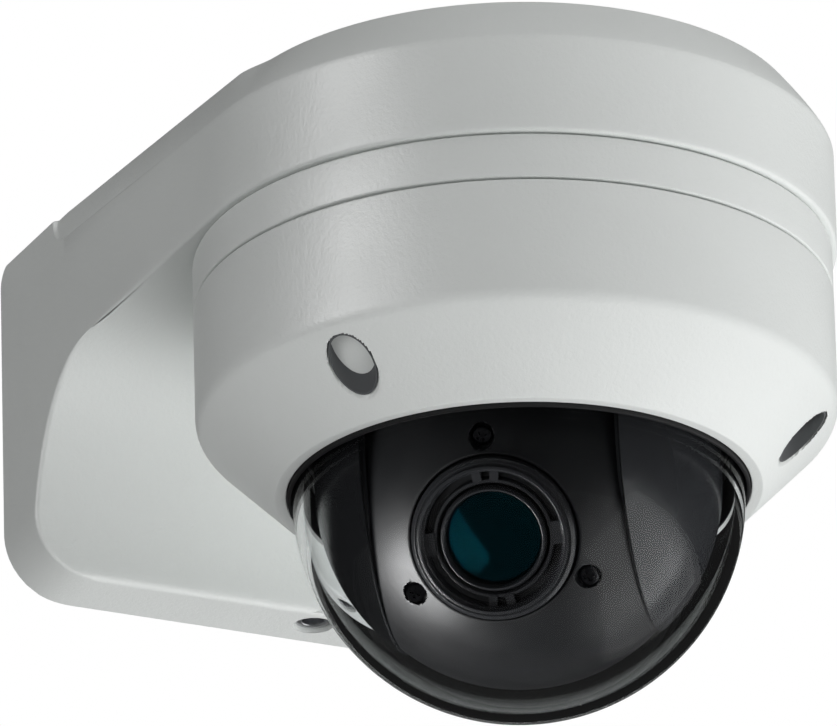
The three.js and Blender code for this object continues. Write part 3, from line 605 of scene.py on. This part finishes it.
# %% Cover with its screw recesses
axis_at = np.array((pan_at.x, pan_at.y, 0)) / MM
cover_screw_at = [(sum(size_of(f"cover_screw_{i}")) / 2 - axis_at)[:2] for i in (1, 2, 3)]
RECESS_R, RECESS_TOP = 4.6, -14.3
SHOULDER_Z, MOUTH_Z = -28.5, cover_low[2]
MOUTH_R, LIP_R = 44.8, 47.0
LEDGE_Z, LEDGE_R, COVER_IN = -38, 48.1, 58.8
CONE_STEP = 0.33


def columns_near(centres, span_deg, fine_deg, coarse_deg):
    """Angles round a circle in degrees, close together near the given centres."""
    spots = [math.degrees(math.atan2(y, x)) % 360 for x, y in centres]
    made, at = [], 0.0
    while at < 360 - coarse_deg * 0.4:
        made.append(at)
        near = min(abs((at - s + 180) % 360 - 180) for s in spots)
        at += fine_deg if near < span_deg else coarse_deg
    return made


def recess_shape(centres, radius, depth_z, outward_only):
    """Push the points over each centre straight up to depth_z, with a small rim radius."""
    def shape(points):
        made = points.copy()
        for x, y in centres:
            away = np.hypot(points[:, 0] - x, points[:, 1] - y)
            sink = smoothstep((radius + 0.28 - away) / 0.5)
            open_side = outward_only(points)
            made[:, 2] += np.where(open_side, sink * np.maximum(depth_z - points[:, 2], 0), 0)
        return made
    return shape


cover_outline = divided(rounded([
    (HOUSING_R, SEAM_Z, 0.45), (HOUSING_R, SHOULDER_Z, 4.0), (LIP_R, MOUTH_Z, 0.5), (MOUTH_R, MOUTH_Z, 0.3),
    (MOUTH_R, LEDGE_Z, 0), (LEDGE_R, LEDGE_Z, 0), (COVER_IN, SHOULDER_Z + 1.2, 1.0),
    (COVER_IN, SEAM_Z, 0.2),
]), CONE_STEP, MOUTH_Z - 1, SHOULDER_Z + 1.5)


def cone_z(r):
    """Height of the cone's outer skin at a radius."""
    return SHOULDER_Z + (HOUSING_R - r) * (MOUTH_Z - SHOULDER_Z) / (HOUSING_R - LIP_R)


def on_outer_skin(points):
    """Which points belong to the cone's outer skin and not to the cover's inside."""
    r = np.hypot(points[:, 0], points[:, 1])
    return (r > LIP_R - 0.2) & (points[:, 2] < cone_z(r) + 1.4) & (points[:, 2] < SHOULDER_Z + 3)


cover = turned(
    "dome_cover_casting", cover_outline, POWDER, HOUSING,
    angles=columns_near(cover_screw_at, 6.3, 0.34, 2.4),
    shape=recess_shape(cover_screw_at, RECESS_R, RECESS_TOP + 0.4, on_outer_skin), sharp_deg=50,
)
finished(cover, "housing", "white_casting", "dome_cover")


SHANK_HOLE_R = 1.6


def bore_wall(x, y):
    """A liner in a recess, dark grey as painted shade, its lower end trimmed to the cone."""
    def trim(points):
        made = points.copy()
        skin = cone_z(np.hypot(points[:, 0] + x, points[:, 1] + y))
        made[:, 2] = np.where(points[:, 2] < SHOULDER_Z, skin + 0.45, points[:, 2])
        return made

    wall, roof = RECESS_R - 0.25, RECESS_TOP - 0.3
    outline = points_of(
        (RECESS_R, MOUTH_Z), (RECESS_R, RECESS_TOP), (SHANK_HOLE_R, RECESS_TOP),
        (SHANK_HOLE_R, roof), (wall, roof), (wall, MOUTH_Z),
    )
    return turned("bore_wall", outline, PAINTED_RECESS_SHADE, HOUSING @ upright(x, y), 72, shape=trim)


# The liners are dark grey as painted shade in the three screw recesses.
shade_liners = joined("bore_walls", *[bore_wall(*spot) for spot in cover_screw_at])
finished(shade_liners, "housing", "white_casting")

# %% [markdown]
# ## The dome and its black gasket
# The dome is half a sphere with a short straight neck and a flange that the clamp ring presses down.
# Its two skins are 2 mm apart. The gasket shows as a thin black ring inside the cover's lip.

# %% Dome, gasket and clamp ring
DOME_T = 2.0
FLANGE_R = 47.2
flange_z = dome_high[2] - 1.8
dome = turned(
    "clear_dome",
    arc_points(0, DOME_Z, DOME_R, -90, 0, 60)
    + points_of((DOME_R, flange_z - 0.4), (DOME_R + 0.4, flange_z), (FLANGE_R, flange_z),
                (FLANGE_R, dome_high[2]), (DOME_R - DOME_T, dome_high[2]))
    + arc_points(0, DOME_Z, DOME_R - DOME_T, 0, -90, 60),
    DOME, HOUSING, 192,
)
dome.visible_shadow = False
finished(dome, "housing", "clear_dome", "dome_bubble")

seal_low, seal_high = size_of("dome_seal")
SEAL_IN, SEAL_OUT, SEAL_LIP_R = 43.85, seal_high[0], 44.6
SEAL_LOW, SEAL_REST, SEAL_TOP = seal_low[2] - 0.2, LEDGE_Z + 0.3, seal_high[2]
seal = turned(
    "dome_gasket",
    rounded([
        (SEAL_IN, SEAL_LOW, 0.25), (SEAL_LIP_R, SEAL_LOW, 0.25), (SEAL_LIP_R, SEAL_REST, 0),
        (SEAL_OUT, SEAL_REST, 0.2), (SEAL_OUT, SEAL_TOP, 0.2), (SEAL_IN, SEAL_TOP, 0.2),
    ]),
    SEAL, HOUSING, 192,
)
finished(seal, "housing", "rubber", "dome_seal")

clamp_low, clamp_high = size_of("dome_clamp_ring")
CLAMP_IN, CLAMP_OUT, CLAMP_T = 40.9, 48.6, 1.5
SCREEN_IN, SCREEN_OUT = 47.3, 48.4
floor_z, screen_z = clamp_low[2], clamp_high[2]
clamp = turned(
    "clamp_ring",
    rounded([
        (CLAMP_IN, floor_z, 0.3), (CLAMP_OUT, floor_z, 0.2), (CLAMP_OUT, floor_z + CLAMP_T, 0.2),
        (43.0, floor_z + CLAMP_T, 0), (SCREEN_OUT, floor_z + 7.6, 0.5), (SCREEN_OUT, screen_z, 0.2),
        (SCREEN_IN, screen_z, 0.2), (SCREEN_IN, floor_z + 8.2, 0.5), (CLAMP_IN, floor_z + 1.8, 0.3),
    ]),
    SCREEN_BLACK, HOUSING, 144,
)
finished(clamp, "housing", "black_plastic", "dome_clamp_ring")

# %% [markdown]
# ## The eyeball
# The tilting shell is a band of a sphere, 49 mm wide, cut away above and behind. It is laid out in
# circles round the lens, so the hole's rim is a true circle, and three screw recesses are pushed into
# it in the same way as in the cover. Two cuts then trim its sides, and one wedge trims both its ends.

# %% Front shell
BALL_R, BALL_T, BALL_HALF = 36.8, 2.0, 24.5
HOLE_R = 16.0
SHELL_UP, SHELL_DOWN = 55, 105
SCREW_BAND_R = 23
PAST = 60
shell_screw_at = []
for i in (1, 2, 3):
    low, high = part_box(f"shell_screw_{i}")
    spot = LENS.inverted() @ ((Vector(low) + Vector(high)) / 2)
    shell_screw_at.append((spot.x / MM, spot.y / MM))
print("shell screws at", [tuple(round(v, 1) for v in s) for s in shell_screw_at])


def shell_outline():
    """The shell's section: close rings out to the screws, then an arc, the inner arc and the hole's lip."""
    near = np.arange(HOLE_R + 0.5, SCREW_BAND_R, 0.26)
    outside = [np.array((r, math.sqrt(BALL_R**2 - r**2))) for r in near]
    outside += arc_points(0, 0, BALL_R, math.degrees(math.acos(SCREW_BAND_R / BALL_R)), -45, 62)
    inside = arc_points(0, 0, BALL_R - BALL_T, -45, math.degrees(math.acos(HOLE_R / (BALL_R - BALL_T))), 60)
    z = math.sqrt(BALL_R**2 - HOLE_R**2)
    lip = points_of((HOLE_R, z - 0.9), (HOLE_R + 0.06, z - 0.5), (HOLE_R + 0.25, z - 0.28))
    return outside + inside + lip


def push_in(centres, radius, depth):
    """Sink the outer points over each centre along the lens's axis."""
    def shape(points):
        made = points.copy()
        outer = np.linalg.norm(points, axis=1) > BALL_R - 0.6
        for x, y in centres:
            away = np.hypot(points[:, 0] - x, points[:, 1] - y)
            sink = smoothstep((radius + 0.2 - away) / 0.36)
            made[:, 2] -= np.where(outer & (points[:, 2] > 0), sink * depth, 0)
        return made
    return shape


def slab(name, corners, low, high, place, material=SATIN):
    """A prism with the given outline, along the local Z."""
    points = [(x, y, z) for z in (low, high) for x, y in corners]
    return piece(name, points, grid_faces(2, len(corners), wrap_rows=False, caps=True), material, place)


def side_cutters(place, inner):
    """Two blocks that trim everything further than inner from the tilt axis's middle."""
    square = rectangle(PAST, PAST)
    across = place @ Matrix.Rotation(math.radians(90), 4, "Y")
    return slab("left side", square, -PAST, -inner, across), slab("right side", square, inner, PAST, across)


def back_cutter(place):
    """A wedge that takes the shell away between its upper and lower ends, seen along the tilt axis."""
    angles = np.radians(np.linspace(90 + SHELL_DOWN, 450 - SHELL_UP, 24))
    wedge = [(0.0, 0.0)] + [(PAST * math.cos(a), PAST * math.sin(a)) for a in angles]
    turn = frame_of(Vector((0, 0, 0)), Vector((0, 1, 0)), Vector((1, 0, 0)))
    return slab("behind", wedge, -PAST, PAST, place @ turn)


shell = turned(
    "tilting_shell", shell_outline(), SATIN, LENS,
    angles=columns_near(shell_screw_at, 9.5, 0.7, 2.5), shape=push_in(shell_screw_at, 2.15, 5.2),
)
cut(shell, *side_cutters(LENS, BALL_HALF), back_cutter(LENS))
finished(shell, "camera_module", "black_plastic", "front_shell")

# %% [markdown]
# ## The cheeks
# A black cover stands on each side of the eyeball. It pans with the fork but doesn't tilt. Each one is
# a segment of a sphere with straight walls above its middle, open towards the eyeball. A sheet of
# points follows that rule closely, and a Solidify modifier gives it the moulding's wall.

# %% Cheeks
CHEEK_R, CHEEK_UP, CHEEK_IN, CHEEK_TOP, CHEEK_T = 39.3, 2.5, 25.1, 12.0, 1.7


def cheek(name, side):
    """One cheek's sheet with a small turned-in lip along both of its long edges."""
    rows, columns = [], 61
    heights = CHEEK_UP - np.sqrt(CHEEK_R**2 - CHEEK_IN**2) * np.sin(np.radians(np.linspace(89.2, 0, 56)))
    heights = np.concatenate([heights, np.linspace(CHEEK_UP, CHEEK_TOP, 6)[1:]])
    for z in heights:
        r = math.sqrt(CHEEK_R**2 - min(0, z - CHEEK_UP) ** 2)
        reach = math.acos(min(1, CHEEK_IN / r))
        angles = reach * np.sin(np.radians(np.linspace(-90, 90, columns)))
        row = np.stack([side * r * np.cos(angles), r * np.sin(angles), np.full(columns, z)], -1)
        lip = row[[0, -1]] - np.array((side * 0.35, 0, 0))
        rows.append(np.vstack([lip[:1] * (1, 0.985, 1), row, lip[1:] * (1, 0.985, 1)]))
    faces = grid_faces(len(rows), columns + 2, wrap_rows=False, wrap_columns=False)
    made = piece(name, np.array(rows).reshape(-1, 3), faces, CHEEK, HEAD)
    wall = made.modifiers.new("wall", "SOLIDIFY")
    wall.thickness = CHEEK_T * MM
    wall.offset = -1
    return made


def outward(made, centre):
    """Turn an open sheet's faces away from a point."""
    mesh = made.data
    mesh.update()
    facing = sum((f.center - centre).dot(f.normal) * f.area for f in mesh.polygons)
    if facing < 0:
        mesh.flip_normals()
    return made


for name, side in (("right_cheek", 1), ("left_cheek", -1)):
    made = outward(cheek(f"{name}_cover", side), HEAD.translation)
    finished(made, "pan_head", "gloss_black", name)

# %% [markdown]
# ## The lens
# Round the lens sits a bayonet ring: a fine bright edge, a recessed channel, and short bridges that
# cross it. The bridges come in pairs above and below and singly at the sides, so a small Geometry
# Nodes tree sets copies of one bridge round the ring from a list of angles held by its points.

# %% A tree that sets copies of a piece on points
def copies_tree():
    """The tree and its inputs' identifiers."""
    tree = bpy.data.node_groups.new("Copies on points", "GeometryNodeTree")
    kinds = {"Points": "Geometry", "Piece": "Object", "Finish": "Material", "Scale": "Float"}
    sockets = {
        label: tree.interface.new_socket(name=label, in_out="INPUT", socket_type=f"NodeSocket{kind}")
        for label, kind in kinds.items()
    }
    tree.interface.new_socket(name="Geometry", in_out="OUTPUT", socket_type="NodeSocketGeometry")
    given, result = tree.nodes.new("NodeGroupInput"), tree.nodes.new("NodeGroupOutput")
    item = tree.nodes.new("GeometryNodeObjectInfo")
    turn = tree.nodes.new("GeometryNodeInputNamedAttribute")
    turn.data_type = "FLOAT_VECTOR"
    turn.inputs["Name"].default_value = "turn"
    place = tree.nodes.new("GeometryNodeInstanceOnPoints")
    real = tree.nodes.new("GeometryNodeRealizeInstances")
    paint = tree.nodes.new("GeometryNodeSetMaterial")
    for a, b in (
        (given.outputs["Points"], place.inputs["Points"]),
        (given.outputs["Piece"], item.inputs["Object"]),
        (item.outputs["Geometry"], place.inputs["Instance"]),
        (turn.outputs["Attribute"], place.inputs["Rotation"]),
        (given.outputs["Scale"], place.inputs["Scale"]),
        (place.outputs["Instances"], real.inputs["Geometry"]),
        (real.outputs["Geometry"], paint.inputs["Geometry"]),
        (given.outputs["Finish"], paint.inputs["Material"]),
        (paint.outputs["Geometry"], result.inputs["Geometry"]),
    ):
        tree.links.new(a, b)
    return tree, {label: socket.identifier for label, socket in sockets.items()}


COPIES, COPY_INPUTS = copies_tree()


def copies(name, item, spots, material, place, sharp_deg=38):
    """Copies of item at spots, each (x, y, z, turn about Z in degrees), as one mesh."""
    mesh = bpy.data.meshes.new(name)
    mesh.from_pydata([(x * MM, y * MM, z * MM) for x, y, z, _ in spots], [], [])
    turn = mesh.attributes.new("turn", "FLOAT_VECTOR", "POINT")
    turn.data.foreach_set("vector", [v for spot in spots for v in (0.0, 0.0, math.radians(spot[3]))])
    carrier = bpy.data.objects.new(name, mesh)
    bpy.context.scene.collection.objects.link(carrier)
    step = carrier.modifiers.new("copies", "NODES")
    step.node_group = COPIES
    step[COPY_INPUTS["Piece"]] = item
    step[COPY_INPUTS["Finish"]] = material
    step[COPY_INPUTS["Scale"]] = 1.0
    made = evaluated(carrier)
    carrier.modifiers.remove(step)
    carrier.data = made
    made.transform(place)
    tidy(made, sharp_deg)
    bpy.data.objects.remove(item)
    return carrier


# %% Bayonet ring
ring_body = turned(
    "ring_body",
    rounded([
        (10.6, 31.0, 0.1), (15.7, 31.0, 0.2), (15.7, 34.3, 0.25), (15.0, 35.0, 0.2), (14.75, 35.0, 0.1),
        (14.6, 34.75, 0.1), (14.35, 35.75, 0.15), (13.75, 35.9, 0.15), (13.5, 35.0, 0.1), (13.2, 34.6, 0.1),
        (13.0, 31.9, 0.15), (11.6, 31.9, 0.15), (11.5, 33.9, 0.15), (10.9, 34.0, 0.15), (10.6, 33.2, 0.1),
    ]),
    LENS_BLACK, LENS, 160,
)
BRIDGE_HALF, BLOCK_HALF = 0.85, 2.21
BRIDGE_IN, BRIDGE_OUT = 11.2, 13.25
BRIDGE_LOW, BRIDGE_HIGH = 31.8, 34.15
BRIDGE_DEG, BLOCK_DEG = (8, -8, 172, 188), (90, 270)


def bars_across(name, half, angles):
    """Short bars across the channel, each twice half wide, at angles round the lens."""
    corners = [(-half, BRIDGE_IN), (half, BRIDGE_IN), (half, BRIDGE_OUT), (-half, BRIDGE_OUT)]
    bar = slab("bar", corners, BRIDGE_LOW, BRIDGE_HIGH, Matrix(), LENS_BLACK)
    return copies(name, bar, [(0, 0, 0, a) for a in angles], LENS_BLACK, LENS)


bridges = bars_across("bridges", BRIDGE_HALF, BRIDGE_DEG)
blocks = bars_across("blocks", BLOCK_HALF, BLOCK_DEG)
ring = joined("bayonet_ring", ring_body, bridges, blocks)
finished(ring, "camera_module", "gloss_black", "lens_ring")

# %% Barrel and front element
barrel = turned(
    "lens_tube",
    rounded([
        (9.15, 6, 0.1), (10.2, 6, 0.1), (10.2, 34.0, 0.35), (9.85, 34.9, 0.3), (9.45, 34.9, 0.2),
        (9.25, 34.3, 0.1), (9.15, 33.6, 0.05),
    ]),
    LENS_BLACK, LENS, 144,
)
finished(barrel, "camera_module", "gloss_black", "lens_barrel")

front_glass = turned(
    "front_element",
    points_of((0, 31.4), (3, 31.2), (6, 30.6), (8.4, 30.5), (8.95, 31), (8.95, 33.4))
    + [np.array((r, 34.75 - r**2 / 62)) for r in np.linspace(8.9, 0, 24)],
    COATED, LENS, 144,
)
finished(front_glass, "camera_module", "lens_glass", "front_lens")

# %% [markdown]
# ## Screws
# Every screw is the same idea at another size: a domed head with a cross or hexagon recess and a
# shank. One turned body with its recess cut out is copied to the three places that each kind has.

# %% One maker for screws
def screw_body(name, head_r, head_h, shank_r, length, drive, material):
    """A screw with its head's outer face at z = 0 looking along -Z and its shank along +Z."""
    quarter = np.linspace(0, math.pi / 2, 8)
    crown = [np.array((head_r * math.sin(t), head_h * 0.35 * (1 - math.cos(t)))) for t in quarter]
    tip = head_h + length
    shank = points_of(
        (head_r, head_h), (shank_r, head_h), (shank_r, tip - 0.4), (shank_r - 0.3, tip), (0, tip),
    )
    body = turned(name, crown + shank, material, Matrix(), 32)
    arm, depth = head_r * 0.55, head_h * 0.6
    if drive == "hex":
        corners = [(arm * math.cos(a), arm * math.sin(a)) for a in np.radians(range(0, 360, 60))]
        return cut(body, slab("socket", corners, -1, depth, Matrix()))
    thin = arm * 0.3
    bars = rectangle(arm, thin), rectangle(thin, arm)
    return cut(body, *[slab("slot", bar, -1, depth, Matrix()) for bar in bars])


def screws(stem, place, body, shape, drive, material, head_at, flip=False):
    """Three screws of one kind; shape is head radius and height, then shank radius and length."""
    name, nodes = f"{stem}s", [f"{stem}_{i}" for i in (1, 2, 3)]
    item = screw_body(name, *shape, drive, material)
    if flip:
        item.data.transform(Matrix.Rotation(math.pi, 4, "X"))
    spots = []
    for i, node in enumerate(nodes):
        low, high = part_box(node)
        spot = place.inverted() @ ((Vector(low) + Vector(high)) / 2)
        spots.append((spot.x / MM, spot.y / MM, head_at, 25 + 40 * i))
    finished(copies(name, item, spots, material, place), body, "steel", *nodes)


SHELL_HEAD_AT = 30.9
low_end = {stem: size_of(f"{stem}_screw_1")[0][2] for stem in ("cover", "mount", "chassis")}
clamp_head_at = size_of("clamp_screw_1")[1][2]
screws("cover_screw", HOUSING, "housing", (3.3, 2.6, 1.5, 13), "hex", DARK_STEEL, low_end["cover"])
shell_screw = (1.85, 1.1, 0.9, 4.6)
screws("shell_screw", LENS, "camera_module", shell_screw, "cross", DARK_STEEL, SHELL_HEAD_AT, flip=True)
screws("clamp_screw", HOUSING, "housing", (2.3, 1.2, 0.9, 3.6), "cross", STEEL, clamp_head_at, flip=True)
screws("mount_screw", HOUSING, "housing", (3.5, 0.9, 2.0, 12), "cross", STEEL, low_end["mount"])
screws("chassis_screw", HOUSING, "housing", (2.5, 1.2, 1.1, 5.2), "cross", STEEL, low_end["chassis"])

SOCKET_R = 2.2
lock = turned(
    "lock_set_screw",
    rounded([
        (SOCKET_R, lock_low[2], 0.3), (lock_r, lock_low[2], 0.5), (lock_r, lock_high[2], 0.4),
        (0, lock_high[2], 0), (0, lock_low[2] + 3.4, 0), (SOCKET_R, lock_low[2] + 3.0, 0),
    ]),
    STEEL, upright(lock_x, lock_y), 48,
)
finished(lock, "housing", "steel", "lock_screw")

# %% [markdown]
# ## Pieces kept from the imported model
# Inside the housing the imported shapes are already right: plates, gears, bearings, motors and boards.
# They keep their meshes and take a finish with grain and unevenness, like the new pieces.

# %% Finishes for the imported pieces
KEPT = {
    STEEL: ["wall_plate", "chassis_plate", "pan_bearing_outer", "pan_bearing_inner", "bearing_clip"],
    ALLOY: ["yoke", "tilt_motor", "pan_motor"],
    BRASS: ["pan_pinion", "tilt_pinion", "right_bush", "left_bush"],
    ACETAL: ["pan_gear", "tilt_gear", "network_socket"],
    SEAL: ["cable_grommet", "cover_seal", "reset_button"],
    SATIN: ["rear_shell"],
    SCREEN_BLACK: ["lens_block"],
    BOARD: ["main_board", "sensor_board"],
    CHIP: ["processor", "reset_switch", "image_sensor"],
    # The inner elements take the same nearly black glass, painted shade inside the lens.
    COATED: ["zoom_group", "focus_group"],
}
for material, names in KEPT.items():
    for name in names:
        kept = frame["nodes"][name]
        kept.data.materials.clear()
        kept.data.materials.append(material)
print("kept:", sum(len(v) for v in KEPT.values()))

# %% [markdown]
# ## Light, floor and camera
# A large soft box stands low on the camera's right and leaves its leaf-shaped patch on the dome. Four
# lamps that are never mirrored fill in from below, from both sides and above the chamfer. A narrow
# lamp on the left is only mirrored, and draws the soft streak down the castings. Two more are linked
# to the eyeball and to the glass: they give the glow beside the lens and the teal crescent in its
# coating. The background is white to the camera, dim where surfaces mirror it, and dark seen through
# the clear dome. Flags and black cards only come near to this in a real studio.

# %% World
ROOM_BELOW, ROOM_ABOVE, ROOM_IN_GLOSS, ROOM_THROUGH_DOME = 0.36, 0.06, 0.02, 0.008


def room():
    """The background, by the kind of ray that meets it."""
    world = bpy.data.worlds.new("Studio")
    bpy.context.scene.world = world
    world.use_nodes = True
    tree = world.node_tree
    shade = tree.nodes["Background"]
    path = tree.nodes.new("ShaderNodeLightPath")
    where = tree.nodes.new("ShaderNodeTexCoord")
    split = tree.nodes.new("ShaderNodeSeparateXYZ")
    tree.links.new(where.outputs["Generated"], split.inputs[0])
    ramp = tree.nodes.new("ShaderNodeMapRange")
    ends = {"From Min": -1.0, "From Max": 1.0, "To Min": ROOM_BELOW, "To Max": ROOM_ABOVE}
    for label, value in ends.items():
        ramp.inputs[label].default_value = value
    tree.links.new(split.outputs["Z"], ramp.inputs["Value"])
    level = ramp.outputs[0]
    for kind, dim in (("Is Glossy Ray", ROOM_IN_GLOSS), ("Is Transmission Ray", ROOM_THROUGH_DOME)):
        choice = tree.nodes.new("ShaderNodeMix")
        tree.links.new(path.outputs[kind], choice.inputs[0])
        tree.links.new(level, choice.inputs[2])
        choice.inputs[3].default_value = dim
        level = choice.outputs[0]
    seen = tree.nodes.new("ShaderNodeMix")
    tree.links.new(path.outputs["Is Camera Ray"], seen.inputs[0])
    tree.links.new(level, seen.inputs[2])
    seen.inputs[3].default_value = 1.0
    tree.links.new(seen.outputs[0], shade.inputs["Color"])
    shade.inputs["Strength"].default_value = 1.0


room()


# %% Lamps
def softbox(name, direction, distance, size, power, mirrored=True, only=()):
    """A rectangular area light that looks at the eyeball from a direction, for some pieces or for all."""
    data = bpy.data.lights.new(name, "AREA")
    data.shape = "RECTANGLE"
    data.size, data.size_y = size
    data.energy = power
    lamp = bpy.data.objects.new(name, data)
    away = Vector(direction).normalized()
    lamp.location = ball_at + away * distance
    lamp.rotation_euler = away.to_track_quat("Z", "Y").to_euler()
    lamp.visible_glossy = lamp.visible_transmission = mirrored
    bpy.context.scene.collection.objects.link(lamp)
    if only:
        data.cycles.use_multiple_importance_sampling = False
        lit = bpy.data.collections.new(f"lit by {name}")
        for item in only:
            lit.objects.link(item)
        lamp.light_linking.receiver_collection = lit
    return lamp


softbox("key", (0.79, -0.29, -0.545), 1.3, (1.9, 1.1), 8.5)
softbox("under", (0.45, -0.2, -0.87), 1.3, (1.4, 1.4), 12, mirrored=False)
softbox("right", (0.95, -0.3, 0.0), 1.3, (1.0, 1.0), 2.2, mirrored=False)
softbox("left", (-0.88, -0.4, -0.2), 1.3, (1.0, 1.0), 5.2, mirrored=False)
softbox("top", (0.3, -0.6, 0.74), 0.45, (0.4, 0.4), 0.8, mirrored=False)
softbox("glow", (-0.68, 0.4, -0.61), 1.3, (0.8, 0.8), 34, only=(shell, ring, barrel))
softbox("coating", (-0.80, -0.08, -0.58), 1.3, (0.65, 1.2), 12, only=(front_glass,))
streak = softbox("streak", (-0.9, -0.1, 0.25), 1.3, (0.4, 1.1), 20, only=(bracket, base, cover))
streak.visible_diffuse = False

# %% Floor
FLOOR_HALF, FLOOR_Z = 20000, -6000
pale = finish("Pale floor", (0.85, 0.85, 0.85), 0.8, grain=(5, 0.3, 0.01), mottle=0.5)
corners = [(x, y, FLOOR_Z) for x, y in rectangle(FLOOR_HALF, FLOOR_HALF)]
floor = piece("floor", corners, [(0, 1, 2, 3)], pale)

# %% Camera
CAMERA_AZ, CAMERA_EL, CAMERA_ROLL = -25.54, -23.23, -1.50
CAMERA_AIM = Vector((86.35, 120.97, 87.01)) * MM
CAMERA_DISTANCE = 3.0
CAMERA_LENS = 610.1
az, el, roll = (math.radians(a) for a in (CAMERA_AZ, CAMERA_EL, CAMERA_ROLL))
back = Vector((math.sin(az) * math.cos(el), -math.cos(az) * math.cos(el), math.sin(el)))
right = Vector((math.cos(az), math.sin(az), 0))
up = back.cross(right)
side = right * math.cos(roll) + up * math.sin(roll)
above = up * math.cos(roll) - right * math.sin(roll)
camera_data = bpy.data.cameras.new("camera")
camera_data.sensor_width = 36
camera_data.lens = CAMERA_LENS
camera_data.clip_end = 50
camera = bpy.data.objects.new("camera", camera_data)
turn = Matrix((side, above, back)).transposed().to_4x4()
camera.matrix_world = Matrix.Translation(CAMERA_AIM + back * CAMERA_DISTANCE) @ turn
bpy.context.scene.collection.objects.link(camera)
bpy.context.scene.camera = camera
bpy.context.scene.view_settings.view_transform = "Standard"
